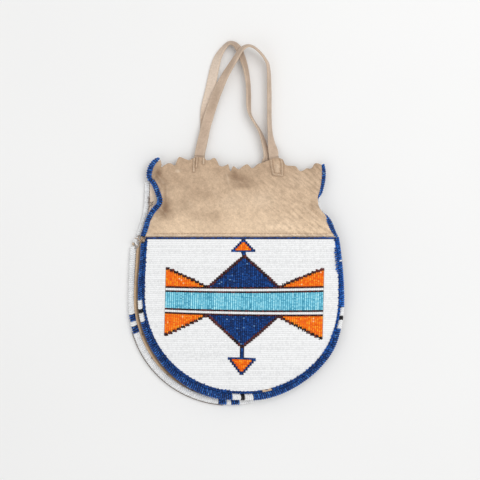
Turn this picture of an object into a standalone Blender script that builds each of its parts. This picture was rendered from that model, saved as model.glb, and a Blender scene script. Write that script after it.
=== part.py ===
"""Beaded hide bag, lying on its back as it is laid out to be looked at.

Two round-footed hide panels are joined round the foot by a gusset strip. The front carries a
beaded field, the seams are bound with rolled bead edging, the neck ends in hand-cut scallops,
and two hide strips sewn inside the mouth are the handles.
Lengths below are millimetres. +X is right, +Y runs up to the handles, +Z is out of the front.
The origin is on the flat underside of the back, below the middle of the round foot.
"""

import math

import bmesh
import bpy
from mathutils import Vector
from mathutils.geometry import delaunay_2d_cdt

MM = 0.001

# Hide
HIDE_THICKNESS = 1.2
GAP = 0.3
PANEL_RADIUS = 97.4
LEFT_TAPER = 2.6
RIGHT_TAPER = 4.6
BACK_SHIFT_X = -9.2
BACK_SHIFT_Y = -3.45
RIM_DEPTH = 9.0
CROWN_RISE = 5.0
CROWN_LENGTH = 160.0
MOUTH_DEPTH = 6.8
NECK_HEIGHT = 76.6
GUSSET_THICKNESS = 1.2

# Bead lanes of the stitched field
LANE_WIDTH = 2.0
ROW_PITCH = 1.9
BEAD_LAYER = 1.6
MOTIF_X = 1.6
MOTIF_Y = -1.8
BAND_HALF_HEIGHT = 8.2
LINE_HEIGHT = 1.4
STRIPE_HEIGHT = 2.5
DIAMOND_SHARE = 0.46
DIAMOND_RISE = 0.31 * PANEL_RADIUS
DIAMOND_EDGE = 2.6
WING_CLEAR_LEFT = 19.5
WING_CLEAR_RIGHT = 14.8
UPPER_LEFT_WING_RISE = 0.86
UPPER_RIGHT_WING_RISE = 0.80
LOWER_LEFT_WING_RISE = 1.08
LOWER_RIGHT_WING_RISE = 0.98
WING_EDGE = 1.7
LEAST_FILL = 0.7
STEM_HALF_WIDTH = 1.9
STEM_LENGTH = 0.031 * PANEL_RADIUS
LOWER_STEM_LENGTH = 0.0975 * PANEL_RADIUS
ARROW_BASE = 1.6
UPPER_ARROW_HALF_WIDTH = 10.9
UPPER_ARROW_HEIGHT = 0.1262 * PANEL_RADIUS
UPPER_ARROW_EDGE = 2.8
UPPER_ARROW_STEPS = 5
LOWER_ARROW_HALF_WIDTH = 13.0
LOWER_ARROW_HEIGHT = 0.168 * PANEL_RADIUS
LOWER_ARROW_EDGE = 3.2
LOWER_ARROW_STEPS = 6
BORDER_LANE = 1.9
ARROW_LEAST_FILL = 1.2
ROWS_TO_A_RIB = 4
RIB_DEPTH = 0.5
RIB_HALF_WIDTH = 0.8

# The beader's hand: the figure leans, its rows sag in the middle and drop to the right
FIGURE_LEAN = 0.024
ROW_SAG = 1.0
ROW_DROP = 0.6
SAG_REACH = 75.0
UPPER_ARROW_DRIFT = -1.1

# Rolled bead edging
SIDE_ROLL = 3.3
ROLL_HEIGHT = 5.0
BACK_ROLL = 6.2
BACK_ROLL_HEIGHT = 4.5
NECK_ROLL = 5.2
NECK_ROLL_HEIGHT = 4.4
BREAK_LENGTH = 7.0
WHITE_BLOCK = 8.5
BLACK_BLOCK = 3.8
BLUE_BLOCK = 7.2
FOOT_BLUE_BLOCK = 8.2
WHITE_LINK = 4.4
LEFT_BLOCKS_AT = -142.5
FOOT_BLOCKS_AT = 0.7
RIGHT_BLOCKS_AT = 134.6
BACK_LEFT_BLOCKS_AT = -133.0
BACK_FOOT_BLOCKS_AT = -3.4

# The edge isn't a true circle. By degrees round from the lowest point, left negative: how far it
# swells out of one, and how wide the front's edging is, both in widths of the side's edging
EDGE_SWELL = [(-125, 0.0), (-108, 0.1), (-90, 0.4), (-70, 0.4), (-45, 0.42), (-20, 0.16), (0, 0.0), (22, 0.15),
              (36, 0.3), (48, 0.6), (61, 0.86), (71, 0.54), (82, 0.24), (92, 0.18), (108, 0.08), (125, 0.0)]
EDGING_WIDTH = [(-125, 1.0), (-108, 1.1), (-90, 1.4), (-70, 1.8), (-45, 2.25), (-20, 2.4), (0, 2.42), (22, 2.0),
                (36, 1.7), (48, 1.63), (61, 1.66), (71, 1.42), (82, 1.18), (92, 1.03), (108, 0.8), (125, 0.74)]
ROLL_STATION = 7.0
GUSSET_STATION = 9.0

# Handles
STRAP_WIDTH = 9.3
STRAP_THICKNESS = 1.6
TAB_LENGTH = 13.5
TAB_FLARE = 1.0

# Neck edges: how far each point is drawn in from the panel's side, and its height above the beads
FRONT_LEFT_NECK = [(4.4, 0.9), (7.6, 10.0), (12.2, 23.0), (18.6, 31.4), (20.0, 37.4), (17.3, 47.4),
                   (12.6, 54.0), (10.2, 60.0), (10.6, 66.0), (13.6, 70.8), (18.5, 73.8)]
FRONT_RIGHT_NECK = [(6.2, 0.9), (11.9, 10.8), (18.5, 23.5), (23.4, 36.9), (20.4, 46.6), (18.5, 57.9),
                    (20.3, 67.6)]
BACK_NECK = [(7.6, 0.0), (10.0, 9.2), (13.6, 20.0), (16.2, 34.0), (16.6, 46.0), (17.0, 56.0)]

# Hand-cut top edge of the front: place along X, and drop below the top line
TOP_CUTS = [(-76.5, 9.8), (-69.4, 6.6), (-64.0, 8.4), (-62.2, 2.0), (-58.3, 0.3), (-50.0, 3.0), (-45.8, 0.2),
            (-35.0, 2.6), (-29.0, 3.2), (-26.3, 1.8), (-20.7, 8.6), (-12.4, 8.0), (-10.6, 14.0), (-7.5, 9.0),
            (-2.6, 12.0), (5.0, 8.2), (9.2, 10.0), (12.7, 10.0), (16.9, 7.0), (22.5, 5.0), (25.0, 0.9),
            (34.8, 1.2), (37.8, 2.4), (41.3, 7.6), (49.7, 8.4), (54.5, 14.6), (61.5, 11.4), (65.6, 12.0),
            (70.5, 8.4)]
BACK_TOP_DROP = 3.0
BACK_CORNER = [(13.4, 17.7), (18.4, 12.5)]

QUARTER = PANEL_RADIUS * math.pi / 2
FIGURE_TOP = (BAND_HALF_HEIGHT + 2 * LINE_HEIGHT + STRIPE_HEIGHT + DIAMOND_RISE + STEM_LENGTH
              + UPPER_ARROW_HEIGHT)
FIELD_TOP = MOTIF_Y + FIGURE_TOP + 0.5 * GAP
BEADS_TOP = FIELD_TOP + BORDER_LANE
HINGE_Y = BEADS_TOP + GAP
NECK_TOP = BEADS_TOP + NECK_HEIGHT
STRAP_FOOT = NECK_TOP + GAP


def plain_material(name, colour, roughness):
    material = bpy.data.materials.get(name) or bpy.data.materials.new(name)
    material.use_nodes = True
    shader = material.node_tree.nodes["Principled BSDF"]
    shader.inputs["Base Color"].default_value = (*colour, 1.0)
    shader.inputs["Roughness"].default_value = roughness
    shader.inputs["Metallic"].default_value = 0.0
    return material


def clear_scene():
    for thing in list(bpy.data.objects):
        bpy.data.objects.remove(thing, do_unlink=True)


def add_piece(name, points, faces, material, home, hinge):
    """One named piece. Its mesh is kept about its own home point, and a moving piece hangs on its hinge."""
    mesh = bpy.data.meshes.new(name)
    mesh.from_pydata([(Vector(p) - Vector(home)) * MM for p in points], [], faces)
    mesh.materials.append(material)
    mesh.validate()
    piece = bpy.data.objects.new(name, mesh)
    bpy.context.scene.collection.objects.link(piece)
    piece.location = Vector(home) * MM
    if hinge:
        piece.parent = hinge
        piece.location -= hinge_place(hinge)
    return piece


def hinge_place(hinge):
    place = hinge.location.copy()
    while hinge.parent:
        hinge = hinge.parent
        place += hinge.location
    return place


def add_hinge(name, y, z, parent=None):
    """An empty on a fold line that runs along X."""
    hinge = bpy.data.objects.new(name, None)
    bpy.context.scene.collection.objects.link(hinge)
    hinge.location = Vector((0.0, y, z)) * MM
    if parent:
        hinge.parent = parent
        hinge.location -= hinge_place(parent)
    return hinge


def smooth_path(points, steps):
    """A Catmull-Rom curve through the points, with this many steps to each stretch."""
    ends = [[2 * a - b for a, b in zip(points[0], points[1])],
            [2 * a - b for a, b in zip(points[-1], points[-2])]]
    run = [ends[0], *points, ends[1]]
    path = []
    for before, start, end, after in zip(run, run[1:], run[2:], run[3:]):
        for step in range(steps):
            t = step / steps
            path.append(tuple(
                0.5 * (2 * b + (c - a) * t + (2 * a - 5 * b + 4 * c - d) * t * t
                       + (3 * b - a - 3 * c + d) * t ** 3)
                for a, b, c, d in zip(before, start, end, after)))
    path.append(tuple(points[-1]))
    return path


def crown(x, y):
    """The soft bulge of the front, 1 in the middle and 0 at the rim."""
    along = y / (CROWN_LENGTH if y > 0 else PANEL_RADIUS)
    return max(0.0, (1 - (x / PANEL_RADIUS) ** 2) * (1 - along ** 2))


def front_under(x, y):
    """Height of the front hide's inner face: domed over the beads, sinking to the mouth above them."""
    bulge = RIM_DEPTH + CROWN_RISE * crown(x, y)
    t = min(1.0, max(0.0, (y - HINGE_Y) / NECK_HEIGHT))
    ease = t * t * (3 - 2 * t)
    return bulge * (1 - ease) + MOUTH_DEPTH * ease


def front_top(x, y):
    return front_under(x, y) + HIDE_THICKNESS


def bead_bed(x, y):
    return front_top(x, y) + GAP


SWELL_LINE = smooth_path(EDGE_SWELL, 5)
EDGING_LINE = smooth_path(EDGING_WIDTH, 5)


def read_off(line, s):
    """A smoothed table's value at s, from widths of the side's edging to a length."""
    at = math.degrees(s / PANEL_RADIUS)
    for (start, low), (end, high) in zip(line, line[1:]):
        if at <= end or (end, high) == line[-1]:
            part = min(1.0, max(0.0, (at - start) / (end - start)))
            return SIDE_ROLL * (low + (high - low) * part)


def rim_point(s, inset):
    """A point on a panel's edge: s runs along the edge from the lowest point, negative to the left."""
    reach = PANEL_RADIUS - inset + read_off(SWELL_LINE, s)
    if abs(s) <= QUARTER:
        angle = s / PANEL_RADIUS - math.pi / 2
        return reach * math.cos(angle), reach * math.sin(angle)
    y = abs(s) - QUARTER
    taper = LEFT_TAPER if s < 0 else RIGHT_TAPER
    x = reach - taper * (y / BEADS_TOP) ** 2
    return math.copysign(x, s), y


def roll_width(s):
    """The front edging lies down the side of the bag, and turns flatter to the eye round the foot."""
    return read_off(EDGING_LINE, s)


def border(s):
    return roll_width(s) + GAP + BORDER_LANE


def spaced(start, end, step):
    count = max(1, round(abs(end - start) / step))
    return [start + (end - start) * i / count for i in range(count + 1)]


def rim_line(inset, top, step=6.0):
    """A panel's edge from its left top round the foot to its right top, drawn in by inset(s)."""
    reach = QUARTER + top
    stations = spaced(-reach, -QUARTER, step) + spaced(-QUARTER, QUARTER, step)[1:]
    stations += spaced(QUARTER, reach, step)[1:]
    return [rim_point(s, inset(s)) for s in stations]


def divided(points, step=7.0):
    """The same closed outline with its long edges split."""
    result = []
    for a, b in zip(points, points[1:] + points[:1]):
        pieces = max(1, math.ceil(math.dist(a, b) / step))
        result += [(a[0] + (b[0] - a[0]) * i / pieces, a[1] + (b[1] - a[1]) * i / pieces)
                   for i in range(pieces)]
    return result


def area(points):
    return 0.5 * sum(a[0] * b[1] - b[0] * a[1] for a, b in zip(points, points[1:] + points[:1]))


def shrunk(points, by):
    """A closed outline moved inwards by this much, with square corners kept square."""
    if area(points) < 0:
        points = points[::-1]
    result = []
    for a, b, c in zip(points[-1:] + points[:-1], points, points[1:] + points[:1]):
        first = Vector((a[1] - b[1], b[0] - a[0])).normalized()
        second = Vector((b[1] - c[1], c[0] - b[0])).normalized()
        shift = (first + second) * (by / max(0.2, 1 + first.dot(second)))
        result.append((b[0] + shift.x, b[1] + shift.y))
    return result


def inside(x, y, outline):
    hit = False
    for (ax, ay), (bx, by) in zip(outline, outline[1:] + outline[:1]):
        if (ay > y) != (by > y) and x < (bx - ax) * (y - ay) / (by - ay) + ax:
            hit = not hit
    return hit


def add_plate(name, outline, bottom, thickness, material, holes=(), hinge=None, grid=12.0, grooves=()):
    """A sheet of even thickness with this outline, laid over the height that bottom(x, y) gives.
    Grooves are heights along Y at which level furrows part its top into ribs."""
    loops = [outline, *holes]
    points = [Vector(p) for loop in loops for p in loop]
    edges = []
    for loop in loops:
        first = len(edges)
        edges += [(first + i, first + (i + 1) % len(loop)) for i in range(len(loop))]
    xs, ys = zip(*outline)
    levels = [y + side * RIB_HALF_WIDTH for y in grooves for side in (-1, 0, 1)]
    for column in spaced(min(xs), max(xs), grid)[1:-1]:
        for y in levels or spaced(min(ys), max(ys), grid)[1:-1]:
            x = column + 0.017 * y + 0.0004 * y * y
            if inside(x, y, outline) and not any(inside(x, y, hole) for hole in holes):
                points.append(Vector((x, y)))
    flat, _, found, *_ = delaunay_2d_cdt(points, edges, [], 0, 1e-5)
    kept = []
    for face in found:
        x = sum(flat[i][0] for i in face) / 3
        y = sum(flat[i][1] for i in face) / 3
        if inside(x, y, outline) and not any(inside(x, y, hole) for hole in holes):
            kept.append(list(face))
    sides = {(a, b) for face in kept for a, b in zip(face, face[1:] + face[:1])}
    rims = [(a, b) for a, b in sides if (b, a) not in sides]
    low = [(x, y, bottom(x, y)) for x, y in flat]
    high = [(x, y, z + thickness - furrow(y, grooves)) for x, y, z in low]
    count = len(flat)
    faces = [face[::-1] for face in kept] + [[i + count for i in face] for face in kept]
    faces += [(a, b, b + count, a + count) for a, b in sorted(rims)]
    home = (round((min(xs) + max(xs)) / 2), round((min(ys) + max(ys)) / 2), bottom(xs[0], ys[0]))
    piece = add_piece(name, low + high, faces, material, home, hinge)
    remove_loose_points(piece.data)
    return piece


def furrow(y, grooves):
    """How deep the nearest furrow is here."""
    return RIB_DEPTH * max([0.0] + [1 - abs(y - groove) / RIB_HALF_WIDTH for groove in grooves])


def remove_loose_points(mesh):
    work = bmesh.new()
    work.from_mesh(mesh)
    bmesh.ops.delete(work, geom=[v for v in work.verts if not v.link_faces], context="VERTS")
    work.to_mesh(mesh)
    work.free()


def add_loft(name, rings, material, hinge=None):
    """A closed skin through rings of equal point counts, with flat ends."""
    count = len(rings[0])
    points = [p for ring in rings for p in ring]
    faces = [list(range(count))[::-1], [len(points) - count + i for i in range(count)]]
    for row in range(len(rings) - 1):
        for i in range(count):
            j = (i + 1) % count
            faces.append((row * count + i, row * count + j, (row + 1) * count + j, (row + 1) * count + i))
    piece = add_piece(name, points, faces, material, tuple(round(c) for c in points[0]), hinge)
    work = bmesh.new()
    work.from_mesh(piece.data)
    bmesh.ops.recalc_face_normals(work, faces=work.faces)
    work.to_mesh(piece.data)
    work.free()
    piece.data.shade_smooth()
    piece.data.set_sharp_from_angle(angle=math.radians(50))
    return piece


def add_roll(name, path, widths, middle, height, material, hinge=None, sides=8):
    """A rolled bead edging: an oval bar along a flat path, middle(x, y) giving its height."""
    rings = []
    for i, (x, y) in enumerate(path):
        before, after = path[max(0, i - 1)], path[min(len(path) - 1, i + 1)]
        along = Vector((after[0] - before[0], after[1] - before[1])).normalized()
        ring = []
        for k in range(sides):
            turn = 2 * math.pi * (k + 0.5) / sides
            out = 0.5 * widths[i] * math.cos(turn)
            ring.append((x - along.y * out, y + along.x * out, middle(x, y) + 0.5 * height * math.sin(turn)))
        rings.append(ring)
    return add_loft(name, rings, material, hinge)


def offset_line(path, by):
    """An open line moved to its left by this much."""
    result = []
    for i, (x, y) in enumerate(path):
        before, after = path[max(0, i - 1)], path[min(len(path) - 1, i + 1)]
        along = Vector((after[0] - before[0], after[1] - before[1])).normalized()
        result.append((x - along.y * by, y + along.x * by))
    return result


def neck_line(points, side, steps=3):
    """A neck edge, from the beads up, at the left (-1) or the right (1) of a panel."""
    return smooth_path([(side * (PANEL_RADIUS - drawn), BEADS_TOP + up) for drawn, up in points], steps)


def by_hand(points):
    """The figure as it was really sewn: leaning, sagging and dropping to the right."""
    result = []
    for x, y in points:
        part = x / SAG_REACH
        drop = ROW_DROP * max(0.0, 1 - y / (BAND_HALF_HEIGHT + STRIPE_HEIGHT)) * part
        drift = UPPER_ARROW_DRIFT * min(1.0, max(0.0, (y - ROWS_TOP - DIAMOND_RISE) / STEM_LENGTH))
        result.append((MOTIF_X + x + FIGURE_LEAN * y + drift, MOTIF_Y + y + ROW_SAG * part * part - drop))
    return result


ROWS_TOP = BAND_HALF_HEIGHT + 2 * LINE_HEIGHT + STRIPE_HEIGHT
GROUND_HALF_WIDTH = PANEL_RADIUS - SIDE_ROLL - GAP - BORDER_LANE
LEFT_LANES = round((GROUND_HALF_WIDTH + MOTIF_X - WING_CLEAR_LEFT) / LANE_WIDTH)
RIGHT_LANES = round((GROUND_HALF_WIDTH - MOTIF_X - WING_CLEAR_RIGHT) / LANE_WIDTH)
DIAMOND_LANES = round(DIAMOND_SHARE * LEFT_LANES)
WING_LANES_LEFT = LEFT_LANES - DIAMOND_LANES
WING_LANES_RIGHT = RIGHT_LANES - DIAMOND_LANES
WING_RISES = {("upper", -1): UPPER_LEFT_WING_RISE, ("upper", 1): UPPER_RIGHT_WING_RISE,
              ("lower", -1): LOWER_LEFT_WING_RISE, ("lower", 1): LOWER_RIGHT_WING_RISE}
DIAMOND_STEP = DIAMOND_RISE / DIAMOND_LANES


def diamond_heights():
    """Height above the rows of each lane of the half diamond, from its middle outwards."""
    return [(DIAMOND_LANES - k) * DIAMOND_STEP for k in range(DIAMOND_LANES)]


def wing_heights(half, side, lanes):
    return [(j + 1) * WING_RISES[half, side] for j in range(lanes)]


def stair(start, side, tops, lane=LANE_WIDTH):
    """The stepped top of lanes that follow each other outwards from start."""
    points = []
    for i, top in enumerate(tops):
        points += [(start + side * i * lane, top), (start + side * (i + 1) * lane, top)]
    return points


def turned(points, way):
    """Upper figures as drawn, lower ones turned over."""
    return [(x, way * y) for x, y in points]


def field_plate(name, outline, material, holes=()):
    cut = [by_hand(divided(shrunk(outline, 0.5 * GAP)))]
    cut += [by_hand(divided(shrunk(hole, -0.5 * GAP))) for hole in holes]
    return add_plate(name, cut[0], bead_bed, BEAD_LAYER, material, holes=cut[1:])


def chain_and_fill(tops, edge):
    """Where the edging beads end and the fill begins in each lane, or 0 with no room for a fill."""
    return [top - edge if top - edge >= LEAST_FILL else 0.0 for top in tops]


def add_diamond_half(label, way, navy, brown):
    tops = diamond_heights()
    fills = chain_and_fill(tops, DIAMOND_EDGE)
    raised = [ROWS_TOP + t for t in tops]
    inner = [ROWS_TOP + f for f in fills]
    filled = [f for f in inner if f > ROWS_TOP]
    outer = stair(0.0, 1, raised)[::-1] + stair(0.0, -1, raised)
    reach = LANE_WIDTH * len(filled)
    under = stair(0.0, -1, filled)[::-1] + stair(0.0, 1, filled)
    foot = LANE_WIDTH * DIAMOND_LANES
    chain = outer + [(-foot, ROWS_TOP), (-reach, ROWS_TOP)] + under + [(reach, ROWS_TOP), (foot, ROWS_TOP)]
    field_plate(f"{label}_diamond_edge", tidy(turned(chain, way)), brown)
    fill = stair(0.0, 1, filled)[::-1] + stair(0.0, -1, filled) + [(-reach, ROWS_TOP), (reach, ROWS_TOP)]
    field_plate(f"{label}_diamond", tidy(turned(fill, way)), navy)


def add_wing(half, side, lanes, way, orange, brown):
    label = f"{half}_{'left' if side < 0 else 'right'}"
    start = side * DIAMOND_LANES * LANE_WIDTH
    tops = wing_heights(half, side, lanes)
    fills = chain_and_fill(tops, WING_EDGE)
    bare = sum(1 for f in fills if f == 0.0)
    raised = [ROWS_TOP + t for t in tops]
    inner = [ROWS_TOP + f for f in fills]
    tip = start + side * bare * LANE_WIDTH
    end = start + side * lanes * LANE_WIDTH
    under = stair(tip, side, inner[bare:])
    chain = stair(start, side, raised) + under[::-1] + [(tip, ROWS_TOP), (start, ROWS_TOP)]
    field_plate(f"{label}_wing_edge", tidy(turned(chain, way)), brown)
    fill = under + [(end, ROWS_TOP), (tip, ROWS_TOP)]
    field_plate(f"{label}_wing", tidy(turned(fill, way)), orange)


def tidy(points):
    """The outline without doubled points or points in the middle of a straight run."""
    points = [p for p, q in zip(points, points[1:] + points[:1]) if math.dist(p, q) > 1e-6]
    kept = []
    for a, b, c in zip(points[-1:] + points[:-1], points, points[1:] + points[:1]):
        if abs((b[0] - a[0]) * (c[1] - b[1]) - (b[1] - a[1]) * (c[0] - b[0])) > 1e-9:
            kept.append(b)
    return kept


def arrow_steps(half_width, height, steps, base):
    """The stepped sides of an arrowhead that points away from the diamond: (outer x, top) of each lane."""
    pitch = (half_width - STEM_HALF_WIDTH) / steps
    drop = (height - ARROW_BASE - ARROW_LEAST_FILL) / steps
    return [(STEM_HALF_WIDTH + k * pitch, base + height - k * drop) for k in range(steps + 1)]


def add_arrow(label, way, stem, half_width, height, edge, steps, orange, blue):
    """An orange arrowhead in a blue frame, on a blue stem."""
    apex = ROWS_TOP + DIAMOND_RISE
    base = apex + stem
    lanes = arrow_steps(half_width, height, steps, base)
    right = []
    for x, top in lanes:
        right += [(x, top)]
        following = [t for (w, t) in lanes if w > x]
        if following:
            right += [(x, following[0])]
    side = right + [(lanes[-1][0], base), (STEM_HALF_WIDTH, base), (STEM_HALF_WIDTH, apex)]
    frame = side + [(-x, y) for x, y in side[::-1]]
    room = [(x, top - edge) for x, top in lanes if top - edge - base - ARROW_BASE >= ARROW_LEAST_FILL]
    inner = []
    for i, (x, top) in enumerate(room):
        inner += [(x, top)] + ([(x, room[i + 1][1])] if i + 1 < len(room) else [(x, base + ARROW_BASE)])
    fill = inner + [(-x, y) for x, y in inner[::-1]]
    hole = tidy(turned(fill, way))
    field_plate(f"{label}_arrow_edge", tidy(turned(frame, way)), blue, holes=[hole])
    field_plate(f"{label}_arrow", hole, orange)
    return frame


def figure_side(side, lanes, way, frame):
    """The figure's outline from its tip to the end of the band, on one side of its upper or lower half."""
    raised = [ROWS_TOP + t for t in diamond_heights()]
    half = "upper" if way > 0 else "lower"
    wings = [ROWS_TOP + t for t in wing_heights(half, side, lanes)]
    right = frame[:len(frame) // 2]
    points = list(right) + stair(0.0, 1, raised)[1:] + stair(DIAMOND_LANES * LANE_WIDTH, 1, wings)
    return [(side * x, way * y) for x, y in points]


def add_field(colours):
    """The beaded field: the figure's colour areas, and the white ground round it."""
    white, blue, brown, orange = (colours[k] for k in ("white", "blue", "brown", "orange"))
    left = -LEFT_LANES * LANE_WIDTH
    right = RIGHT_LANES * LANE_WIDTH

    def row(name, low, high, material):
        field_plate(name, [(left, low), (right, low), (right, high), (left, high)], material)

    row("turquoise_band", -BAND_HALF_HEIGHT, BAND_HALF_HEIGHT, colours["turquoise"])
    for label, way in (("upper", 1), ("lower", -1)):
        levels = [BAND_HALF_HEIGHT]
        for step in (LINE_HEIGHT, STRIPE_HEIGHT, LINE_HEIGHT):
            levels.append(levels[-1] + step)
        row(f"{label}_inner_line", *sorted((way * levels[0], way * levels[1])), brown)
        row(f"{label}_white_stripe", *sorted((way * levels[1], way * levels[2])), white)
        row(f"{label}_outer_line", *sorted((way * levels[2], way * levels[3])), brown)
        add_diamond_half(label, way, blue, brown)
        add_wing(label, -1, WING_LANES_LEFT, way, orange, brown)
        add_wing(label, 1, WING_LANES_RIGHT, way, orange, brown)
    upper = add_arrow("upper", 1, STEM_LENGTH, UPPER_ARROW_HALF_WIDTH, UPPER_ARROW_HEIGHT,
                      UPPER_ARROW_EDGE, UPPER_ARROW_STEPS, orange, blue)
    lower = add_arrow("lower", -1, LOWER_STEM_LENGTH, LOWER_ARROW_HALF_WIDTH, LOWER_ARROW_HEIGHT,
                      LOWER_ARROW_EDGE, LOWER_ARROW_STEPS, orange, blue)
    around = (figure_side(1, WING_LANES_RIGHT, 1, upper)
              + figure_side(1, WING_LANES_RIGHT, -1, lower)[::-1]
              + figure_side(-1, WING_LANES_LEFT, -1, lower)
              + figure_side(-1, WING_LANES_LEFT, 1, upper)[::-1])
    figure = by_hand(divided(shrunk(tidy(around), -0.5 * GAP)))
    figure = [(x, min(y, FIELD_TOP)) for x, y in figure]
    rim = rim_line(border, FIELD_TOP)
    ground_rim = shrunk(tidy(rim), 0.5 * GAP)
    top = max(y for _, y in ground_rim)
    add_ground(ground_rim, figure, top, white)


def add_ground(rim, figure, top, material):
    """White ground: the field's outline, notched from its top edge by the whole figure."""
    start = min(range(len(figure)), key=lambda i: -figure[i][1] + 0.001 * abs(figure[i][0]))
    run = figure[start:] + figure[:start]
    crossing = [i for i, (_, y) in enumerate(run) if y < top - 0.02]
    inner = run[crossing[0]:crossing[-1] + 1]
    if inner[0][0] < inner[-1][0]:
        inner = inner[::-1]
    corner = max((i for i, p in enumerate(rim) if p[0] < 0), key=lambda i: rim[i][1])
    outer = rim[corner:] + rim[:corner]
    outline = outer + [(inner[0][0], top)] + inner + [(inner[-1][0], top)]
    low = min(y for _, y in rim)
    rib = ROWS_TO_A_RIB * ROW_PITCH
    grooves = [top - rib * (k + 1) for k in range(int((top - low) / rib))]
    add_plate("white_ground", divided(outline), bead_bed, BEAD_LAYER, material, grooves=grooves)


def add_border(blue):
    """One lane of blue beads round the ground, and one row across its top."""
    outer = rim_line(lambda s: border(s) - BORDER_LANE, BEADS_TOP)
    inner = rim_line(border, FIELD_TOP)
    outline = shrunk(outer, 0.5 * GAP)
    hole = shrunk(inner, -0.5 * GAP)
    add_plate("border_lane", divided(outline), bead_bed, BEAD_LAYER, blue, holes=[divided(hole)])


def rolls_between(marks, first, last):
    """Stretches of edging from first to last, with a hair gap at each mark."""
    cuts = [first, *marks, last]
    return [(a + (0.5 * GAP if i else 0.0), b - (0.5 * GAP if i + 2 < len(cuts) else 0.0))
            for i, (a, b) in enumerate(zip(cuts, cuts[1:]))]


def add_front_edging(colours):
    """Blue edging with a white, black and white block at the left, the foot and the right."""
    marks = []
    for at in (LEFT_BLOCKS_AT, FOOT_BLOCKS_AT, RIGHT_BLOCKS_AT):
        inner = 0.5 * BLACK_BLOCK
        marks += [at - inner - WHITE_BLOCK, at - inner, at + inner, at + inner + WHITE_BLOCK]
    names = ["front_edge_left_top"]
    for place, following in (("left", "left_foot"), ("foot", "right_foot"), ("right", "right_top")):
        names += [f"front_edge_{place}_white_a", f"front_edge_{place}_black", f"front_edge_{place}_white_b",
                  f"front_edge_{following}"]
    tones = ["blue"] + ["white", "black", "white", "blue"] * 3
    first = -(QUARTER + BEADS_TOP - BREAK_LENGTH)
    last = QUARTER + BEADS_TOP - GAP
    middle = RIM_DEPTH + 0.5 * HIDE_THICKNESS
    for name, tone, (a, b) in zip(names, tones, rolls_between(marks, first, last)):
        stations = spaced(a, b, ROLL_STATION)
        path = [rim_point(s, 0.5 * roll_width(s)) for s in stations]
        widths = [roll_width(s) for s in stations]
        add_roll(name, path, widths, lambda x, y: middle, ROLL_HEIGHT, colours[tone])


def shifted(points):
    return [(x + BACK_SHIFT_X, y + BACK_SHIFT_Y) for x, y in points]


def back_neck(side):
    return shifted(neck_line(BACK_NECK, side))


def add_back_edging(colours):
    """White edging with pairs of blue blocks, running on up the right of the neck."""
    marks = []
    for at, blue in ((BACK_LEFT_BLOCKS_AT, BLUE_BLOCK), (BACK_FOOT_BLOCKS_AT, FOOT_BLUE_BLOCK)):
        inner = 0.5 * WHITE_LINK
        marks += [at - inner - blue, at - inner, at + inner, at + inner + blue]
    names = ["back_edge_left_top", "back_edge_left_blue_a", "back_edge_left_link", "back_edge_left_blue_b",
             "back_edge_left_foot", "back_edge_foot_blue_a", "back_edge_foot_link", "back_edge_foot_blue_b",
             "back_edge_right"]
    tones = ["white"] + ["blue", "white", "blue", "white"] * 2
    reach = QUARTER + BEADS_TOP - BREAK_LENGTH
    middle = 0.1 + 0.5 * BACK_ROLL_HEIGHT
    for name, tone, (a, b) in zip(names, tones, rolls_between(marks, -reach, reach)):
        path = shifted([rim_point(s, 0.5 * BACK_ROLL) for s in spaced(a, b, ROLL_STATION)])
        if name == "back_edge_right":
            path += back_neck(1)
        add_roll(name, path, [BACK_ROLL] * len(path), lambda x, y: middle, BACK_ROLL_HEIGHT, colours[tone])
    left = back_neck(-1)
    add_roll("back_neck_edge_left", left, [NECK_ROLL] * len(left), lambda x, y: middle, BACK_ROLL_HEIGHT,
             colours["white"])


def cut_top(left, right, drop):
    """The hand-cut top line between these two places along X, this much below the front's."""
    return [(x, NECK_TOP - below - drop) for x, below in TOP_CUTS if left < x < right]


def add_back(colour):
    """The back panel and its neck in one piece of hide, flat on the table."""
    reach = BEADS_TOP - BREAK_LENGTH - GAP
    foot = shifted(rim_line(lambda s: BACK_ROLL + GAP, reach))
    right = offset_line(back_neck(1), 0.5 * BACK_ROLL + GAP)
    left = offset_line(back_neck(-1)[::-1], 0.5 * NECK_ROLL + GAP)
    corner = [(drawn - PANEL_RADIUS, NECK_TOP - below) for drawn, below in BACK_CORNER]
    top = corner + cut_top(corner[-1][0] + 1.0, right[-1][0] - 1.0, BACK_TOP_DROP)
    add_plate("back_hide", divided(foot + right + top[::-1] + left), lambda x, y: 0.0, HIDE_THICKNESS, colour)


def add_front(colour):
    """The hide under the beads. It ends where the mouth flap folds."""
    outline = rim_line(lambda s: roll_width(s) + GAP, BEADS_TOP)
    add_plate("front_hide", divided(outline), front_under, HIDE_THICKNESS, colour)


def add_neck(hinge, hide, blue):
    """The front of the neck, with a blue edging down each side."""
    sides = {"left": neck_line(FRONT_LEFT_NECK, -1), "right": neck_line(FRONT_RIGHT_NECK, 1)}
    foot = HINGE_Y + GAP
    for label, path in sides.items():
        path = [(path[0][0], foot + 1.0)] + [p for p in path if p[1] > foot + 2.0]
        add_roll(f"front_neck_edge_{label}", path, [NECK_ROLL] * len(path),
                 lambda x, y: front_under(x, y) + 0.5 * HIDE_THICKNESS, NECK_ROLL_HEIGHT, blue, hinge)
        sides[label] = path
    inset = 0.5 * NECK_ROLL + GAP
    right = offset_line(sides["right"], inset)
    left = offset_line(sides["left"][::-1], inset)
    right[0] = (right[0][0], foot)
    left[-1] = (left[-1][0], foot)
    cuts = cut_top(left[0][0] + 0.5, right[-1][0] - 0.5, 0.0)
    outline = right + cuts[::-1] + left
    add_plate("front_neck_hide", divided(outline), front_under, HIDE_THICKNESS, hide, hinge=hinge)


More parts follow.
